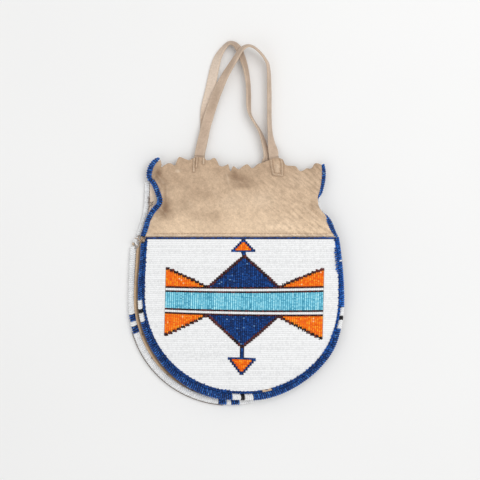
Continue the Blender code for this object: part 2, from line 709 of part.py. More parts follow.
def add_gusset(colour):
    """The strip that gives the bag its depth. Where the front overhangs, it bends over the back's edging."""
    reach = QUARTER + BEADS_TOP - BREAK_LENGTH - GAP
    stations = spaced(-reach, reach, GUSSET_STATION)
    half = 0.5 * GUSSET_THICKNESS
    low = HIDE_THICKNESS + GAP + half + 0.2
    high = RIM_DEPTH + 0.5 * (HIDE_THICKNESS - ROLL_HEIGHT) - GAP - half
    over = BACK_ROLL_HEIGHT + 0.1 + GAP + half
    rings = []
    for s in stations:
        foot = Vector(shifted([rim_point(s, BACK_ROLL + GAP + half)])[0])
        head = Vector(rim_point(s, 0.5 * roll_width(s)))
        out = Vector(rim_point(s, 0.0)) - Vector(rim_point(s, BACK_ROLL))
        out.normalize()
        overhang = max(0.0, min(1.0, (head - foot).dot(out) / 4.0))
        middle = foot.lerp(head, 0.5 * (1 - overhang))
        bend = 0.5 * (low + high) * (1 - overhang) + over * overhang
        section = [(foot, low), (middle, bend), (head, high)]
        flat = [((p - foot).dot(out), z) for p, z in section]
        outer, inner = offset_line(flat, -half), offset_line(flat, half)
        ring = []
        for (step, z), (p, _), (before, _) in zip(outer + inner[::-1], section + section[::-1],
                                                  flat + flat[::-1]):
            place = p + out * (step - before)
            ring.append((place.x, place.y, z))
        rings.append(ring)
    add_loft("gusset_strip", rings, colour)


FRONT_FOOT_Z = MOUTH_DEPTH - GAP - 0.5 * STRAP_THICKNESS
BACK_FOOT_Z = HIDE_THICKNESS + GAP + 0.5 * STRAP_THICKNESS

# Routes of the two handles, chosen by hand: place along X, height above the mouth, height off the
# table, and how far the strip leans from lying flat (0) to standing on its edge (90)
FRONT_ROUTE = [(-40.2, 0.0, FRONT_FOOT_Z, 0), (-39.7, 4.0, FRONT_FOOT_Z, 0), (-37.4, 14.0, 5.2, 0),
               (-33.3, 30.7, 4.4, 0), (-29.1, 44.6, 4.3, 4), (-23.5, 60.0, 5.4, 22), (-15.1, 77.5, 8.2, 45),
               (-6.6, 91.0, 11.6, 56), (-0.8, 100.2, 13.4, 62), (5.0, 104.4, 13.2, 72), (10.6, 104.0, 12.0, 78),
               (17.3, 99.0, 10.0, 80), (22.8, 92.0, 8.0, 80), (25.8, 84.0, 6.6, 78), (26.7, 64.1, 5.4, 75),
               (26.8, 36.2, 5.2, 73), (27.4, 22.4, 5.2, 66), (28.6, 12.0, 5.4, 44),
               (30.3, 4.0, FRONT_FOOT_Z, 6), (30.6, 0.0, FRONT_FOOT_Z, 0)]
BACK_ROUTE = [(-39.6, 0.0, BACK_FOOT_Z, 0), (-39.2, 4.0, BACK_FOOT_Z, 0), (-37.0, 14.0, 1.3, 0),
              (-34.9, 26.0, 1.1, 0), (-34.2, 44.8, 1.1, 0), (-29.8, 64.1, 1.3, 5), (-25.5, 84.5, 2.6, 25),
              (-21.4, 96.5, 3.9, 48), (-13.8, 106.6, 4.8, 68), (-9.4, 108.0, 4.8, 66), (-4.9, 105.6, 4.6, 58),
              (-1.9, 101.0, 4.3, 50), (-0.6, 97.0, 4.3, 50), (1.8, 92.0, 4.6, 60), (5.0, 82.2, 4.9, 74),
              (7.1, 71.1, 5.1, 82), (7.9, 60.0, 5.1, 82), (7.7, 46.0, 5.0, 78), (8.3, 40.4, 4.9, 74),
              (12.6, 32.0, 4.8, 70), (17.6, 23.7, 4.7, 66), (20.7, 14.0, 4.3, 58),
              (22.6, 5.0, 3.2, 34), (22.9, 0.0, BACK_FOOT_Z, 0)]


def add_strap(name, route, colour, hinge):
    """A flat hide strip along its route, leaning from flat to standing on its edge."""
    path = smooth_path(route, 3)
    rings = []
    for i, (x, y, z, lean) in enumerate(path):
        before, after = path[max(0, i - 1)], path[min(len(path) - 1, i + 1)]
        along = Vector([b - a for a, b in zip(before[:3], after[:3])])
        if i in (0, len(path) - 1):
            along = Vector((0.0, 1.0 if i == 0 else -1.0, 0.0))
        along.normalize()
        left = Vector((0, 0, 1)).cross(along).normalized()
        up = along.cross(left)
        lean = math.radians(lean)
        across = left * math.cos(lean) - up * math.sin(lean)
        face = up * math.cos(lean) + left * math.sin(lean)
        half, thin, cut = 0.5 * STRAP_WIDTH, 0.5 * STRAP_THICKNESS, 0.35
        corners = [(half, thin - cut), (half - cut, thin), (cut - half, thin), (-half, thin - cut),
                   (-half, cut - thin), (cut - half, -thin), (half - cut, -thin), (half, cut - thin)]
        centre = Vector((x, STRAP_FOOT + y, z))
        rings.append([tuple(centre + across * w + face * t) for w, t in corners])
    return add_loft(name, rings, colour, hinge)


def add_tab(name, x, drift, bottom, colour, hinge=None):
    """A sewn end of a handle, inside the mouth: it flares a little and has cut corners."""
    top = STRAP_FOOT - GAP
    half = 0.5 * STRAP_WIDTH
    low = top - TAB_LENGTH
    wide = half + TAB_FLARE
    outline = [(x - half, top), (x + drift - wide, low + 3.0), (x + drift - wide + 2.0, low),
               (x + drift + wide - 2.0, low), (x + drift + wide, low + 3.0), (x + half, top)]
    add_plate(name, outline, bottom, STRAP_THICKNESS, colour, hinge=hinge, grid=8.0)


def add_handles(colour, flap):
    """Each handle is one strip: two sewn ends, and a loop that swings at the mouth."""
    front = add_hinge("front_handle_fold", STRAP_FOOT - GAP, MOUTH_DEPTH + HIDE_THICKNESS + 0.6, flap)
    back = add_hinge("back_handle_fold", STRAP_FOOT - GAP, -0.4)
    add_strap("front_handle", FRONT_ROUTE, colour, front)
    add_strap("back_handle", BACK_ROUTE, colour, back)

    def under_front(x, y):
        return front_under(x, y) - GAP - STRAP_THICKNESS

    def over_back(x, y):
        return HIDE_THICKNESS + GAP

    for label, end, drift in (("left", 0, -0.7), ("right", -1, 2.6)):
        add_tab(f"front_handle_end_{label}", FRONT_ROUTE[end][0], drift, under_front, colour, flap)
        add_tab(f"back_handle_end_{label}", BACK_ROUTE[end][0], 0.0, over_back, colour)


def build():
    clear_scene()
    hide = plain_material("buckskin", (0.56, 0.42, 0.29), 0.9)
    strap = plain_material("handle_hide", (0.55, 0.44, 0.34), 0.9)
    tones = {"white": (0.87, 0.87, 0.86), "blue": (0.012, 0.035, 0.22), "black": (0.015, 0.013, 0.012),
             "brown": (0.06, 0.012, 0.01), "orange": (0.93, 0.21, 0.012), "turquoise": (0.16, 0.55, 0.74)}
    colours = {tone: plain_material(f"{tone}_beads", colour, 0.25) for tone, colour in tones.items()}
    add_back(hide)
    add_gusset(hide)
    add_front(hide)
    add_field(colours)
    add_border(colours["blue"])
    add_front_edging(colours)
    add_back_edging(colours)
    flap = add_hinge("mouth_fold", HINGE_Y, front_top(0.0, HINGE_Y) + 0.2)
    add_neck(flap, hide, colours["blue"])
    add_handles(strap, flap)


build()
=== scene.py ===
"""Beaded hide bag lying on its back: hides, beadwork, rolled edging, neck and handles, in that order."""

import math
import random

import bmesh
import bpy
from mathutils import Matrix, Vector, noise
from mathutils.bvhtree import BVHTree
from mathutils.geometry import delaunay_2d_cdt


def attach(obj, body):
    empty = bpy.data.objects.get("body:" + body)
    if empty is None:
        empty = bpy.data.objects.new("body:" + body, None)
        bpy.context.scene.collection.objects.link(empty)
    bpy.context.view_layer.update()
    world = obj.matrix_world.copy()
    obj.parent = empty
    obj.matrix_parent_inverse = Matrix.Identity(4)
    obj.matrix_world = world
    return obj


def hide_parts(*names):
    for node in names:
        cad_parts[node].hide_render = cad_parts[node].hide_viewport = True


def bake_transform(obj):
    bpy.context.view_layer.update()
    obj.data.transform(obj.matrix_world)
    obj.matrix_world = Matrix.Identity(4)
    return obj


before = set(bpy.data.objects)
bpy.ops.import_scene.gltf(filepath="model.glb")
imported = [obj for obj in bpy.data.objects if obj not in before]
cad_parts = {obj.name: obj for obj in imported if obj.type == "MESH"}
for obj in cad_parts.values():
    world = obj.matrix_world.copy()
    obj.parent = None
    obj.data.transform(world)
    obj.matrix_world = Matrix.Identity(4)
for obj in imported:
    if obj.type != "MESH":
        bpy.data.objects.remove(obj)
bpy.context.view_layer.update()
scene = bpy.context.scene


# The hides: brain-tanned buckskin, cut with a knife and smoked to a warm tan. The back is one panel
# with its neck, the front lies under the beads, and a narrow gusset joins them round the foot.
# Lengths are millimetres. Meshes, finishes, folds and lamps take metres.

PANEL = 97.4
BACK_X, BACK_Y = -9.2, -3.45
HIDE = 1.2
BEADS_TOP = 59.255
FOLD_Y = 59.555
QUARTER = PANEL * math.pi / 2
BOUND_REACH = QUARTER + 52.0
FRONT_LIFT, FRONT_DOME, MOUTH_LIFT = 9.0, 5.0, 6.8
NECK_LONG = 76.6


def clamp(value):
    """value held between 0 and 1."""
    return min(1.0, max(0.0, value))


def curve_through(points, parts):
    """A smooth line through given points."""
    first = [2 * a - b for a, b in zip(points[0], points[1])]
    last = [2 * a - b for a, b in zip(points[-1], points[-2])]
    run = [first, *points, last]
    line = []
    for before, start, end, after in zip(run, run[1:], run[2:], run[3:]):
        for part in range(parts):
            t = part / parts
            line.append(tuple(
                0.5 * (2 * b + (c - a) * t + (2 * a - 5 * b + 4 * c - d) * t * t
                       + (3 * b - a - 3 * c + d) * t ** 3)
                for a, b, c, d in zip(before, start, end, after)))
    line.append(tuple(points[-1]))
    return line


# By degrees round from the lowest point: how far the cut edge swells out of a true circle, and how
# wide the front's rolled edging is, both in widths of the side's edging.
SIDE_EDGING = 3.3
SWELL = curve_through([
    (-125, 0.0), (-108, 0.1), (-90, 0.4), (-70, 0.4), (-45, 0.42), (-20, 0.16), (0, 0.0), (22, 0.15),
    (36, 0.3), (48, 0.6), (61, 0.86), (71, 0.54), (82, 0.24), (92, 0.18), (108, 0.08), (125, 0.0)], 5)
EDGING = curve_through([
    (-125, 1.0), (-108, 1.1), (-90, 1.4), (-70, 1.8), (-45, 2.25), (-20, 2.4), (0, 2.42), (22, 2.0),
    (36, 1.7), (48, 1.63), (61, 1.66), (71, 1.42), (82, 1.18), (92, 1.03), (108, 0.8), (125, 0.74)], 5)


def read_between(table, at):
    """A table's value at a place between two of its entries, held beyond its ends."""
    for (start, low), (end, high) in zip(table, table[1:]):
        if at <= end:
            break
    return low + (high - low) * clamp((at - start) / (end - start))


def read_off(table, s):
    """What an edging table says at s, in millimetres."""
    return SIDE_EDGING * read_between(table, math.degrees(s / PANEL))


def edge_point(s, inset):
    """A point on a round-footed panel's edge, s being measured along the edge from its lowest point."""
    reach = PANEL - inset + read_off(SWELL, s)
    if abs(s) <= QUARTER:
        angle = s / PANEL - math.pi / 2
        return reach * math.cos(angle), reach * math.sin(angle)
    y = abs(s) - QUARTER
    x = reach - (2.6 if s < 0 else 4.6) * (y / BEADS_TOP) ** 2
    return math.copysign(x, s), y


def edging_width(s):
    return read_off(EDGING, s)


def steps(start, end, step):
    count = max(1, round(abs(end - start) / step))
    return [start + (end - start) * i / count for i in range(count + 1)]


def on_back(points):
    return [(x + BACK_X, y + BACK_Y) for x, y in points]


def front_bulge(x, y):
    """Height of the front hide's inner face over the table."""
    along = y / (160.0 if y > 0 else PANEL)
    domed = FRONT_LIFT + FRONT_DOME * max(0.0, (1 - (x / PANEL) ** 2) * (1 - along ** 2))
    t = clamp((y - FOLD_Y) / NECK_LONG)
    ease = t * t * (3 - 2 * t)
    return domed * (1 - ease) + MOUTH_LIFT * ease


def side_shift(line, by):
    """An open line moved to its left."""
    moved = []
    for i, (x, y) in enumerate(line):
        a, b = line[max(0, i - 1)], line[min(len(line) - 1, i + 1)]
        length = math.dist(a, b) or 1.0
        moved.append((x - (b[1] - a[1]) / length * by, y + (b[0] - a[0]) / length * by))
    return moved


def within(x, y, outline):
    hit = False
    for (ax, ay), (bx, by) in zip(outline, outline[1:] + outline[:1]):
        if (ay > y) != (by > y) and x < (bx - ax) * (y - ay) / (by - ay) + ax:
            hit = not hit
    return hit


def as_mesh(name, points, faces, finish=None, smooth=True):
    """A finished piece from points in millimetres, sitting at the origin."""
    mesh = bpy.data.meshes.new(name)
    mesh.from_pydata([(x * 0.001, y * 0.001, z * 0.001) for x, y, z in points], [], faces)
    mesh.validate()
    if smooth:
        mesh.shade_smooth()
    piece = bpy.data.objects.new(name, mesh)
    scene.collection.objects.link(piece)
    if finish:
        mesh.materials.append(finish)
    return piece


def mark_points(piece, name, values):
    """One value a point, for the finish to read."""
    piece.data.attributes.new(name, "FLOAT", "POINT").data.foreach_set("value", values)


def split_edges(outline, step):
    points = []
    for a, b in zip(outline, outline[1:] + outline[:1]):
        parts = max(1, math.ceil(math.dist(a, b) / step))
        points += [(a[0] + (b[0] - a[0]) * i / parts, a[1] + (b[1] - a[1]) * i / parts)
                   for i in range(parts)]
    return points


def cut_hide(name, outline, lie, thickness, mesh_step, finish, edge_step=1.6, close_spots=()):
    """A piece of hide cut to an outline and laid over lie(x, y), the height of its underside."""
    outline = split_edges(outline, edge_step)
    count = len(outline)
    points = [Vector(p) for p in outline]
    chance = random.Random(name)
    xs, ys = zip(*outline)
    for x in steps(min(xs), max(xs), mesh_step)[1:-1]:
        for y in steps(min(ys), max(ys), mesh_step)[1:-1]:
            px = x + chance.uniform(-0.3, 0.3) * mesh_step
            py = y + chance.uniform(-0.3, 0.3) * mesh_step
            if within(px, py, outline):
                points.append(Vector((px, py)))
    points += [Vector(p) for p in close_spots if within(*p, outline)]
    rim_edges = [(i, (i + 1) % count) for i in range(count)]
    flat, _, found, *_ = delaunay_2d_cdt(points, rim_edges, [], 0, 1e-5)
    kept = []
    for face in found:
        x, y = (sum(flat[i][k] for i in face) / 3 for k in (0, 1))
        if within(x, y, outline):
            kept.append(list(face))
    directed = {(a, b) for face in kept for a, b in zip(face, face[1:] + face[:1])}
    rim = sorted((a, b) for a, b in directed if (b, a) not in directed)
    on_rim = {i for pair in rim for i in pair}
    used = sorted({i for face in kept for i in face})
    place = {old: new for new, old in enumerate(used)}
    low, high = [], []
    for i in used:
        x, y = flat[i]
        z = lie(x, y)
        worn = 0.25 if i in on_rim else 0.0
        low.append((x, y, z + worn))
        high.append((x, y, z + thickness - worn))
    total = len(used)
    faces = [[place[i] for i in face[::-1]] for face in kept]
    faces += [[place[i] + total for i in face] for face in kept]
    faces += [(place[a], place[b], place[b] + total, place[a] + total) for a, b in rim]
    return as_mesh(name, low + high, faces, finish)


class Wire:
    """A node's output, so that sums on it read as arithmetic and add their own Math nodes."""

    def __init__(self, finish, socket):
        self.finish = finish
        self.socket = socket

    def maths(self, operation, a, b):
        return self.finish.node("ShaderNodeMath", {"operation": operation}, {0: a, 1: b})

    def __add__(self, other):
        return self.maths("ADD", self, other)

    def __mul__(self, other):
        return self.maths("MULTIPLY", self, other)

    def __sub__(self, other):
        return self.maths("SUBTRACT", self, other)

    def __rsub__(self, other):
        return self.maths("SUBTRACT", other, self)

    __radd__ = __add__
    __rmul__ = __mul__


class Finish:
    """A material under construction: its nodes, and the Principled shader that they feed."""

    def __init__(self, name, **fixed):
        self.material = bpy.data.materials.new(name)
        self.material.use_nodes = True
        self.nodes = self.material.node_tree.nodes
        self.links = self.material.node_tree.links
        self.shader = self.nodes["Principled BSDF"]
        for key, value in fixed.items():
            self.shader.inputs[key.replace("_", " ")].default_value = value

    def feed(self, socket, value):
        if isinstance(value, Wire):
            self.links.new(value.socket, socket)
        elif socket.type == "RGBA" and len(value) == 3:
            socket.default_value = (*value, 1.0)
        else:
            socket.default_value = value

    def node(self, kind, settings=None, sockets=None, out=0):
        node = self.nodes.new(kind)
        for key, value in (settings or {}).items():
            if key == "stops":
                ramp = node.color_ramp
                while len(ramp.elements) < len(value):
                    ramp.elements.new(0.5)
                for element, (position, colour) in zip(ramp.elements, value):
                    element.position = position
                    element.color = (*colour, 1.0)
            else:
                setattr(node, key, value)
        for key, value in (sockets or {}).items():
            self.feed(node.inputs[key], value)
        return Wire(self, node.outputs[out])

    def position(self):
        return self.node("ShaderNodeTexCoord", out="Object")

    def noise(self, scale, detail=3.0, roughness=0.55, vector=None):
        return self.node("ShaderNodeTexNoise", None, {
            "Vector": vector or self.position(), "Scale": scale, "Detail": detail, "Roughness": roughness})

    def ramp(self, value, *stops):
        return self.node("ShaderNodeValToRGB", {"stops": stops}, {"Fac": value})

    def spread(self, value, low, high):
        """value stretched so that low reads 0 and high reads 1."""
        return self.node("ShaderNodeMapRange", {"clamp": True}, {
            "Value": value, "From Min": low, "From Max": high, "To Min": 0.0, "To Max": 1.0})

    def mix(self, amount, a, b, blend="MIX"):
        return self.node("ShaderNodeMix", {"data_type": "RGBA", "blend_type": blend},
                         {0: amount, 6: a, 7: b}, out=2)

    def attribute(self, name):
        return self.node("ShaderNodeAttribute", {"attribute_name": name}, out="Fac")

    def finish(self, colour, rough=None, relief=None, depth=0.0003, strength=1.0):
        self.feed(self.shader.inputs["Base Color"], colour)
        if rough is not None:
            self.feed(self.shader.inputs["Roughness"], rough)
        if relief is not None:
            bump = self.node("ShaderNodeBump", None, {
                "Height": relief, "Distance": depth, "Strength": strength})
            self.feed(self.shader.inputs["Normal"], bump)
        return self.material


def smoked_buckskin(name, shade, darker, stain_amount):
    """Napped hide: short fibres, cloudy smoking, darker stain marks, pull lines, and painted light and
    shade where marked.
    """
    hide = Finish(name, Roughness=0.92, Sheen_Weight=0.25, Sheen_Roughness=0.6)
    cloud = hide.spread(hide.noise(34.0, 4.0, 0.6), 0.34, 0.68)
    fleck = hide.noise(420.0, 3.0, 0.7)
    fibre = hide.noise(1500.0, 2.0, 0.7)
    stain = hide.spread(hide.noise(58.0, 5.0, 0.65), 0.56, 0.74)
    tone = hide.mix(cloud, shade, darker)
    tone = hide.mix(stain * stain_amount, tone, tuple(0.62 * c for c in darker))
    lit = hide.ramp(fleck, (0.25, (0.80, 0.80, 0.80)), (0.75, (1.12, 1.12, 1.12)))
    tone = hide.mix(1.0, tone, lit, "MULTIPLY")
    # painted light: a pale tan where the back shows beside the neck's left edging, against the edging's
    # shade
    tone = hide.mix(hide.attribute("clean") * 0.65, tone, (0.96, 0.80, 0.66))
    # painted shade: near-black where the gusset lies in the shade of the front's edging
    tone = hide.mix(hide.attribute("crevice") * 0.88, tone, (0.075, 0.045, 0.028))
    relief = fleck * 0.6 + fibre * 0.25 + cloud * 0.3
    return hide.finish(tone, 0.86 + 0.1 * fleck, relief, depth=0.0004, strength=0.55)


buckskin = smoked_buckskin("smoked_buckskin", (0.740, 0.560, 0.395), (0.560, 0.405, 0.275), 0.55)
gusset_hide = smoked_buckskin("gusset_buckskin", (0.800, 0.560, 0.345), (0.620, 0.420, 0.250), 0.75)

# The back's neck, by how far it is drawn in and how far up, and the width of the back's rolled edging.
BACK_NECK = [(7.6, 0.0), (10.0, 9.2), (13.6, 20.0), (16.2, 34.0), (16.6, 46.0), (17.0, 56.0)]
BACK_ROLL = [(-205.0, 5.3), (-165.0, 5.6), (-125.0, 7.1), (-60.0, 7.1), (-5.0, 6.7), (40.0, 6.2)]


def neck_side(side):
    return curve_through([(side * (PANEL - drawn), BEADS_TOP + up) for drawn, up in BACK_NECK], 6)


def back_roll_inset(s):
    """How far in from the back panel's cut edge its rolled edging reaches."""
    return read_between(BACK_ROLL, s)


def slack(s):
    """How far the left edgings stand out where the seam has loosened towards the mouth."""
    return 1.35 * clamp((-s - QUARTER) / 42.0)


def front_slack(s):
    """The front's edging stands out less than the back's, and is pulled in again near the mouth."""
    return slack(s) - 0.95 * clamp((-s - QUARTER - 17.0) / 22.0)


def drawn_up(s):
    """How far the front's edging is drawn in round the foot, where the back's shows beyond it."""
    return 1.7 * math.exp(-((s + 3.0) / 15.0) ** 2) + 0.7 * math.exp(-((s + 85.0) / 45.0) ** 2)


def by_left_roll(x, y):
    """1 where the back's inner face shows beside the neck's left edging, lifted there and painted lighter:
    painted light against the edging's shade.
    """
    high = clamp((y - 64) / 8) * clamp((124 - y) / 8)
    return high * clamp((-70 - x) / 6)


def back_lie(x, y):
    """The back lies on the table and lifts a little where the mouth's edge waves."""
    lift = clamp((y - 108) / 26)
    wave = lift * 0.35 * (1 + math.sin(x * 0.11 + 0.7)) + 0.1 * (1 + noise.noise((x * 0.05, y * 0.05, 4)))
    return 0.02 + wave + 2.4 * by_left_roll(x, y)


GRID, GRID_X, GRID_Y = 0.95, 241.5, 299.5


def placed(across, down):
    """A place counted in steps of 0.95 mm, across and down from the upper left of the table."""
    return (across - GRID_X) * GRID, (GRID_Y - down) * GRID


# The top edge on that grid. Front and back were cut together, the back a little lower.
TOP_EDGE = [
    (158.7, 158.0), (160.2, 160.7), (161.7, 164.5), (161.0, 167.5), (164.8, 164.9), (168.6, 163.0),
    (171.7, 163.7), (174.7, 165.6), (175.9, 163.0), (177.8, 158.4), (179.7, 156.8), (183.1, 158.0),
    (188.5, 160.0), (191.6, 158.7), (197.0, 157.0), (204.6, 158.0), (206.1, 160.0), (209.9, 160.0),
    (212.2, 158.4), (214.5, 157.8), (216.4, 159.5), (218.0, 163.0), (219.5, 165.6), (222.5, 166.4),
    (226.0, 165.2), (228.3, 164.1), (229.4, 168.3), (230.6, 171.4), (232.1, 167.9), (233.6, 166.0),
    (236.7, 168.3), (239.0, 169.3), (242.7, 166.3), (246.6, 164.2), (249.0, 165.3), (251.5, 168.1),
    (253.9, 167.4), (255.7, 165.8), (258.2, 163.9), (263.1, 162.5), (268.0, 160.5), (273.0, 158.4),
    (278.5, 158.0), (281.7, 158.6), (283.4, 160.4), (285.2, 164.2), (288.3, 165.6), (295.4, 166.0),
    (297.5, 168.4), (300.3, 171.2), (303.8, 170.2), (306.6, 168.1), (309.4, 168.6), (312.2, 167.7),
    (313.9, 164.6), (315.7, 163.2), (318.5, 163.5), (321.3, 164.6)]


back_right = on_back(neck_side(1))
back_left = on_back(neck_side(-1))
back_foot = on_back([edge_point(s, 6.2) for s in steps(-BOUND_REACH, BOUND_REACH, 3.0)])
right_cut = side_shift(back_right, 3.1)
left_cut = side_shift(back_left[::-1], 2.6)
back_top = [(x, y - 3.0) for x, y in (placed(*p) for p in TOP_EDGE) if -76.0 < x < right_cut[-1][0] - 1.0]
back_top = [(-84.0, 118.2), (-79.0, 123.4)] + curve_through(back_top, 2)
back_outline = back_foot + right_cut + back_top[::-1] + left_cut
back_panel = cut_hide("back_panel", back_outline, back_lie, HIDE, 4.0, buckskin)
# painted light for the back's inner face beside the neck's left edging
clean = []
for corner in back_panel.data.vertices:
    x, y, z = 1000 * corner.co
    clean.append(by_left_roll(x, y) if z > back_lie(x, y) + 0.5 * HIDE else 0.0)
mark_points(back_panel, "clean", clean)
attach(back_panel, "bag")
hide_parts("back_hide")

front_reach = QUARTER + BEADS_TOP
front_cut = [edge_point(s, edging_width(s) + 0.2) for s in steps(-front_reach, front_reach, 3.0)]
front_panel = cut_hide("front_panel", front_cut, front_bulge, HIDE, 6.0, buckskin, edge_step=3.0)
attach(front_panel, "bag")
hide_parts("front_hide")

gusset_rings, crevice = [], []
for s in steps(-BOUND_REACH, BOUND_REACH, 2.4):
    foot = Vector(on_back([edge_point(s, back_roll_inset(s) - 0.3)])[0])
    head = Vector(edge_point(s, 0.5 * edging_width(s) - 0.7 * slack(s)))
    out = (Vector(edge_point(s, 0.0)) - Vector(edge_point(s, 10.0))).normalized()
    over = clamp((head - foot).dot(out) / 4.0)
    middle = foot.lerp(head, 0.5 * (1 - over))
    bend = 4.2 * (1 - over) + 5.5 * over
    roll_edge = Vector(edge_point(s, drawn_up(s) - front_slack(s)))
    # painted shade on the gusset beside the front's edging, stronger round the left
    shaded = 1.2 + 0.8 * clamp((-s - 10.0) / 30.0)
    pucker = 0.35 * math.sin(s * 1.3) + 0.5 * noise.noise((s * 0.13, 3.0, 1.0))
    route = curve_through([(0.0, 3.3), ((middle - foot).dot(out) + pucker * 0.4, bend + 0.2 * pucker),
                           ((head - foot).dot(out), 6.1)], 3)
    outer, inner = side_shift(route, -0.5), side_shift(route, 0.5)
    ring = []
    for k, (across, z) in enumerate(outer + inner[::-1]):
        centre = foot + out * across
        if over < 1:
            straight = foot.lerp(head, min(k, 13 - k) / 6.0)
            centre = straight + out * (across - (straight - foot).dot(out))
        ring.append((centre.x, centre.y, z))
        crevice.append(clamp(shaded - (centre - roll_edge).dot(out) / 1.2))
    gusset_rings.append(ring)


def skin(rings):
    """Faces of a closed tube through rings of points, with both ends closed."""
    count = len(rings[0])
    faces = [list(range(count))[::-1], [len(rings) * count - count + i for i in range(count)]]
    for row in range(len(rings) - 1):
        for i in range(count):
            j = (i + 1) % count
            faces.append((row * count + i, row * count + j, (row + 1) * count + j, (row + 1) * count + i))
    return [p for ring in rings for p in ring], faces


def turn_out(piece, crease=None):
    """Makes a closed piece's faces point outwards, and its edges sharp from an angle on."""
    work = bmesh.new()
    work.from_mesh(piece.data)
    bmesh.ops.recalc_face_normals(work, faces=work.faces)
    work.to_mesh(piece.data)
    work.free()
    if crease:
        piece.data.set_sharp_from_angle(angle=math.radians(crease))


gusset = as_mesh("gusset", *skin(gusset_rings), finish=gusset_hide)
mark_points(gusset, "crevice", crevice)
turn_out(gusset, 50)
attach(gusset, "bag")
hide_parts("gusset_strip")


# The beaded field: glass seed beads of about 1.9 mm, strung on thread and sewn to the front hide.
# The white ground runs in level rows, and the figure in upright lanes that the stitcher let lean a
# little. Each bead is a short drawn-glass barrel, and no two are quite the same size.

BEAD_WIDE = 1.9
BEAD_LONG = 1.3


def barrel_bead():
    """One seed bead, 1 across and 1 long, a short seven-sided barrel."""
    sides = [math.tau * k / 7 for k in range(7)]
    rings = []
    for r, z in ((0.34, -0.5), (0.48, -0.3), (0.5, 0.0), (0.48, 0.3), (0.34, 0.5)):
        rings.append([(r * math.cos(turn), r * math.sin(turn), z) for turn in sides])
    points, faces = skin(rings)
    mesh = bpy.data.meshes.new("barrel_bead")
    mesh.from_pydata(points, [], faces[:2] + [face[::-1] for face in faces[2:]])
    mesh.shade_smooth()
    bead = bpy.data.objects.new("barrel_bead", mesh)
    turn_out(bead, 60)
    return bead


def stringing_tree():
    """Sets a bead on every point, lined up with its thread, each a little different from the next."""
    tree = bpy.data.node_groups.new("strung_beads", "GeometryNodeTree")
    for name, kind in (
            ("Thread points", "Geometry"), ("Bead", "Object"), ("Width", "Float"), ("Length", "Float"),
            ("Unevenness", "Float"), ("Tilt", "Float"), ("Finish", "Material"), ("Seed", "Int")):
        tree.interface.new_socket(name, in_out="INPUT", socket_type="NodeSocket" + kind)
    tree.interface.new_socket("Beads", in_out="OUTPUT", socket_type="NodeSocketGeometry")

    def node(kind, inputs, out=0, **settings):
        made = tree.nodes.new(kind)
        for key, value in settings.items():
            setattr(made, key, value)
        for key, value in inputs.items():
            if isinstance(value, bpy.types.NodeSocket):
                tree.links.new(value, made.inputs[key])
            else:
                made.inputs[key].default_value = value
        return made.outputs[out]

    def maths(operation, a, b):
        return node("ShaderNodeMath", {0: a, 1: b}, operation=operation)

    def triple(x, y, z):
        return node("ShaderNodeCombineXYZ", {"X": x, "Y": y, "Z": z})

    def drawn(low=0.0, high=1.0, **inputs):
        """A random number of the bead's own, or of its thread's where an ID is given."""
        return node("FunctionNodeRandomValue", {2: low, 3: high, **inputs}, 1, data_type="FLOAT")

    def named(name, kind):
        return node("GeometryNodeInputNamedAttribute", {"Name": name}, "Attribute", data_type=kind)

    def stored(geometry, name, value, domain):
        return node("GeometryNodeStoreNamedAttribute", {"Geometry": geometry, "Name": name, "Value": value},
                    data_type="FLOAT", domain=domain)

    given = tree.nodes.new("NodeGroupInput").outputs
    seed, uneven, tilt = given["Seed"], given["Unevenness"], given["Tilt"]
    second = maths("ADD", seed, 5.0)
    limits = maths("SUBTRACT", 1.0, uneven), maths("ADD", 1.0, uneven)
    width = maths("MULTIPLY", given["Width"], drawn(*limits, Seed=seed))
    length = maths("MULTIPLY", given["Length"], drawn(*limits, Seed=second))
    back = maths("MULTIPLY", tilt, -1.0)
    leans = {0: triple(back, back, -3.0), 1: triple(tilt, tilt, 3.0), "Seed": second}
    lean = node("FunctionNodeRandomValue", leans, data_type="FLOAT_VECTOR")
    bead = node("GeometryNodeObjectInfo", {"Object": given["Bead"]}, "Geometry")
    lined = node("FunctionNodeAlignRotationToVector", {"Vector": named("along", "FLOAT_VECTOR")}, axis="Z")
    points = stored(given["Thread points"], "lot", drawn(ID=named("row", "INT"), Seed=seed), "POINT")
    strung = node("GeometryNodeInstanceOnPoints", {
        "Points": points, "Instance": bead, "Rotation": lined, "Scale": triple(width, width, length)})
    turned = node("GeometryNodeRotateInstances", {"Instances": strung, "Rotation": lean})
    toned = stored(turned, "tone", drawn(Seed=seed), "INSTANCE")
    real = node("GeometryNodeRealizeInstances", {"Geometry": toned})
    done = node("GeometryNodeSetMaterial", {"Geometry": real, "Material": given["Finish"]})
    tree.links.new(done, tree.nodes.new("NodeGroupOutput").inputs["Beads"])
    return tree


seed_bead = barrel_bead()
strung_beads = stringing_tree()


def join_to(piece, other):
    with bpy.context.temp_override(active_object=piece, selected_editable_objects=[piece, other]):
        bpy.ops.object.join()


BED_DEPTH = 0.00062
RIB_STEP, GROOVE = 0.0076, 0.0005


def bed_under(node, finish):
    """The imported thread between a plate's beads, seen only in the gaps. It fills the ground's grooves."""
    plate = bpy.data.objects.new(node + "_bed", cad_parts[node].data.copy())
    scene.collection.objects.link(plate)
    plate.data.transform(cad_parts[node].matrix_world)
    plate.data.transform(Matrix.Translation((0, 0, -BED_DEPTH)))
    if node == "white_ground":
        top = max(v.co.y for v in plate.data.vertices)
        for corner in plate.data.vertices:
            off = (top - corner.co.y) / RIB_STEP
            if abs(off - round(off)) < 0.02 and off > 0.5 and corner.normal.z > 0.3:
                corner.co.z += GROOVE
    plate.data.materials.clear()
    plate.data.materials.append(finish)
    return plate


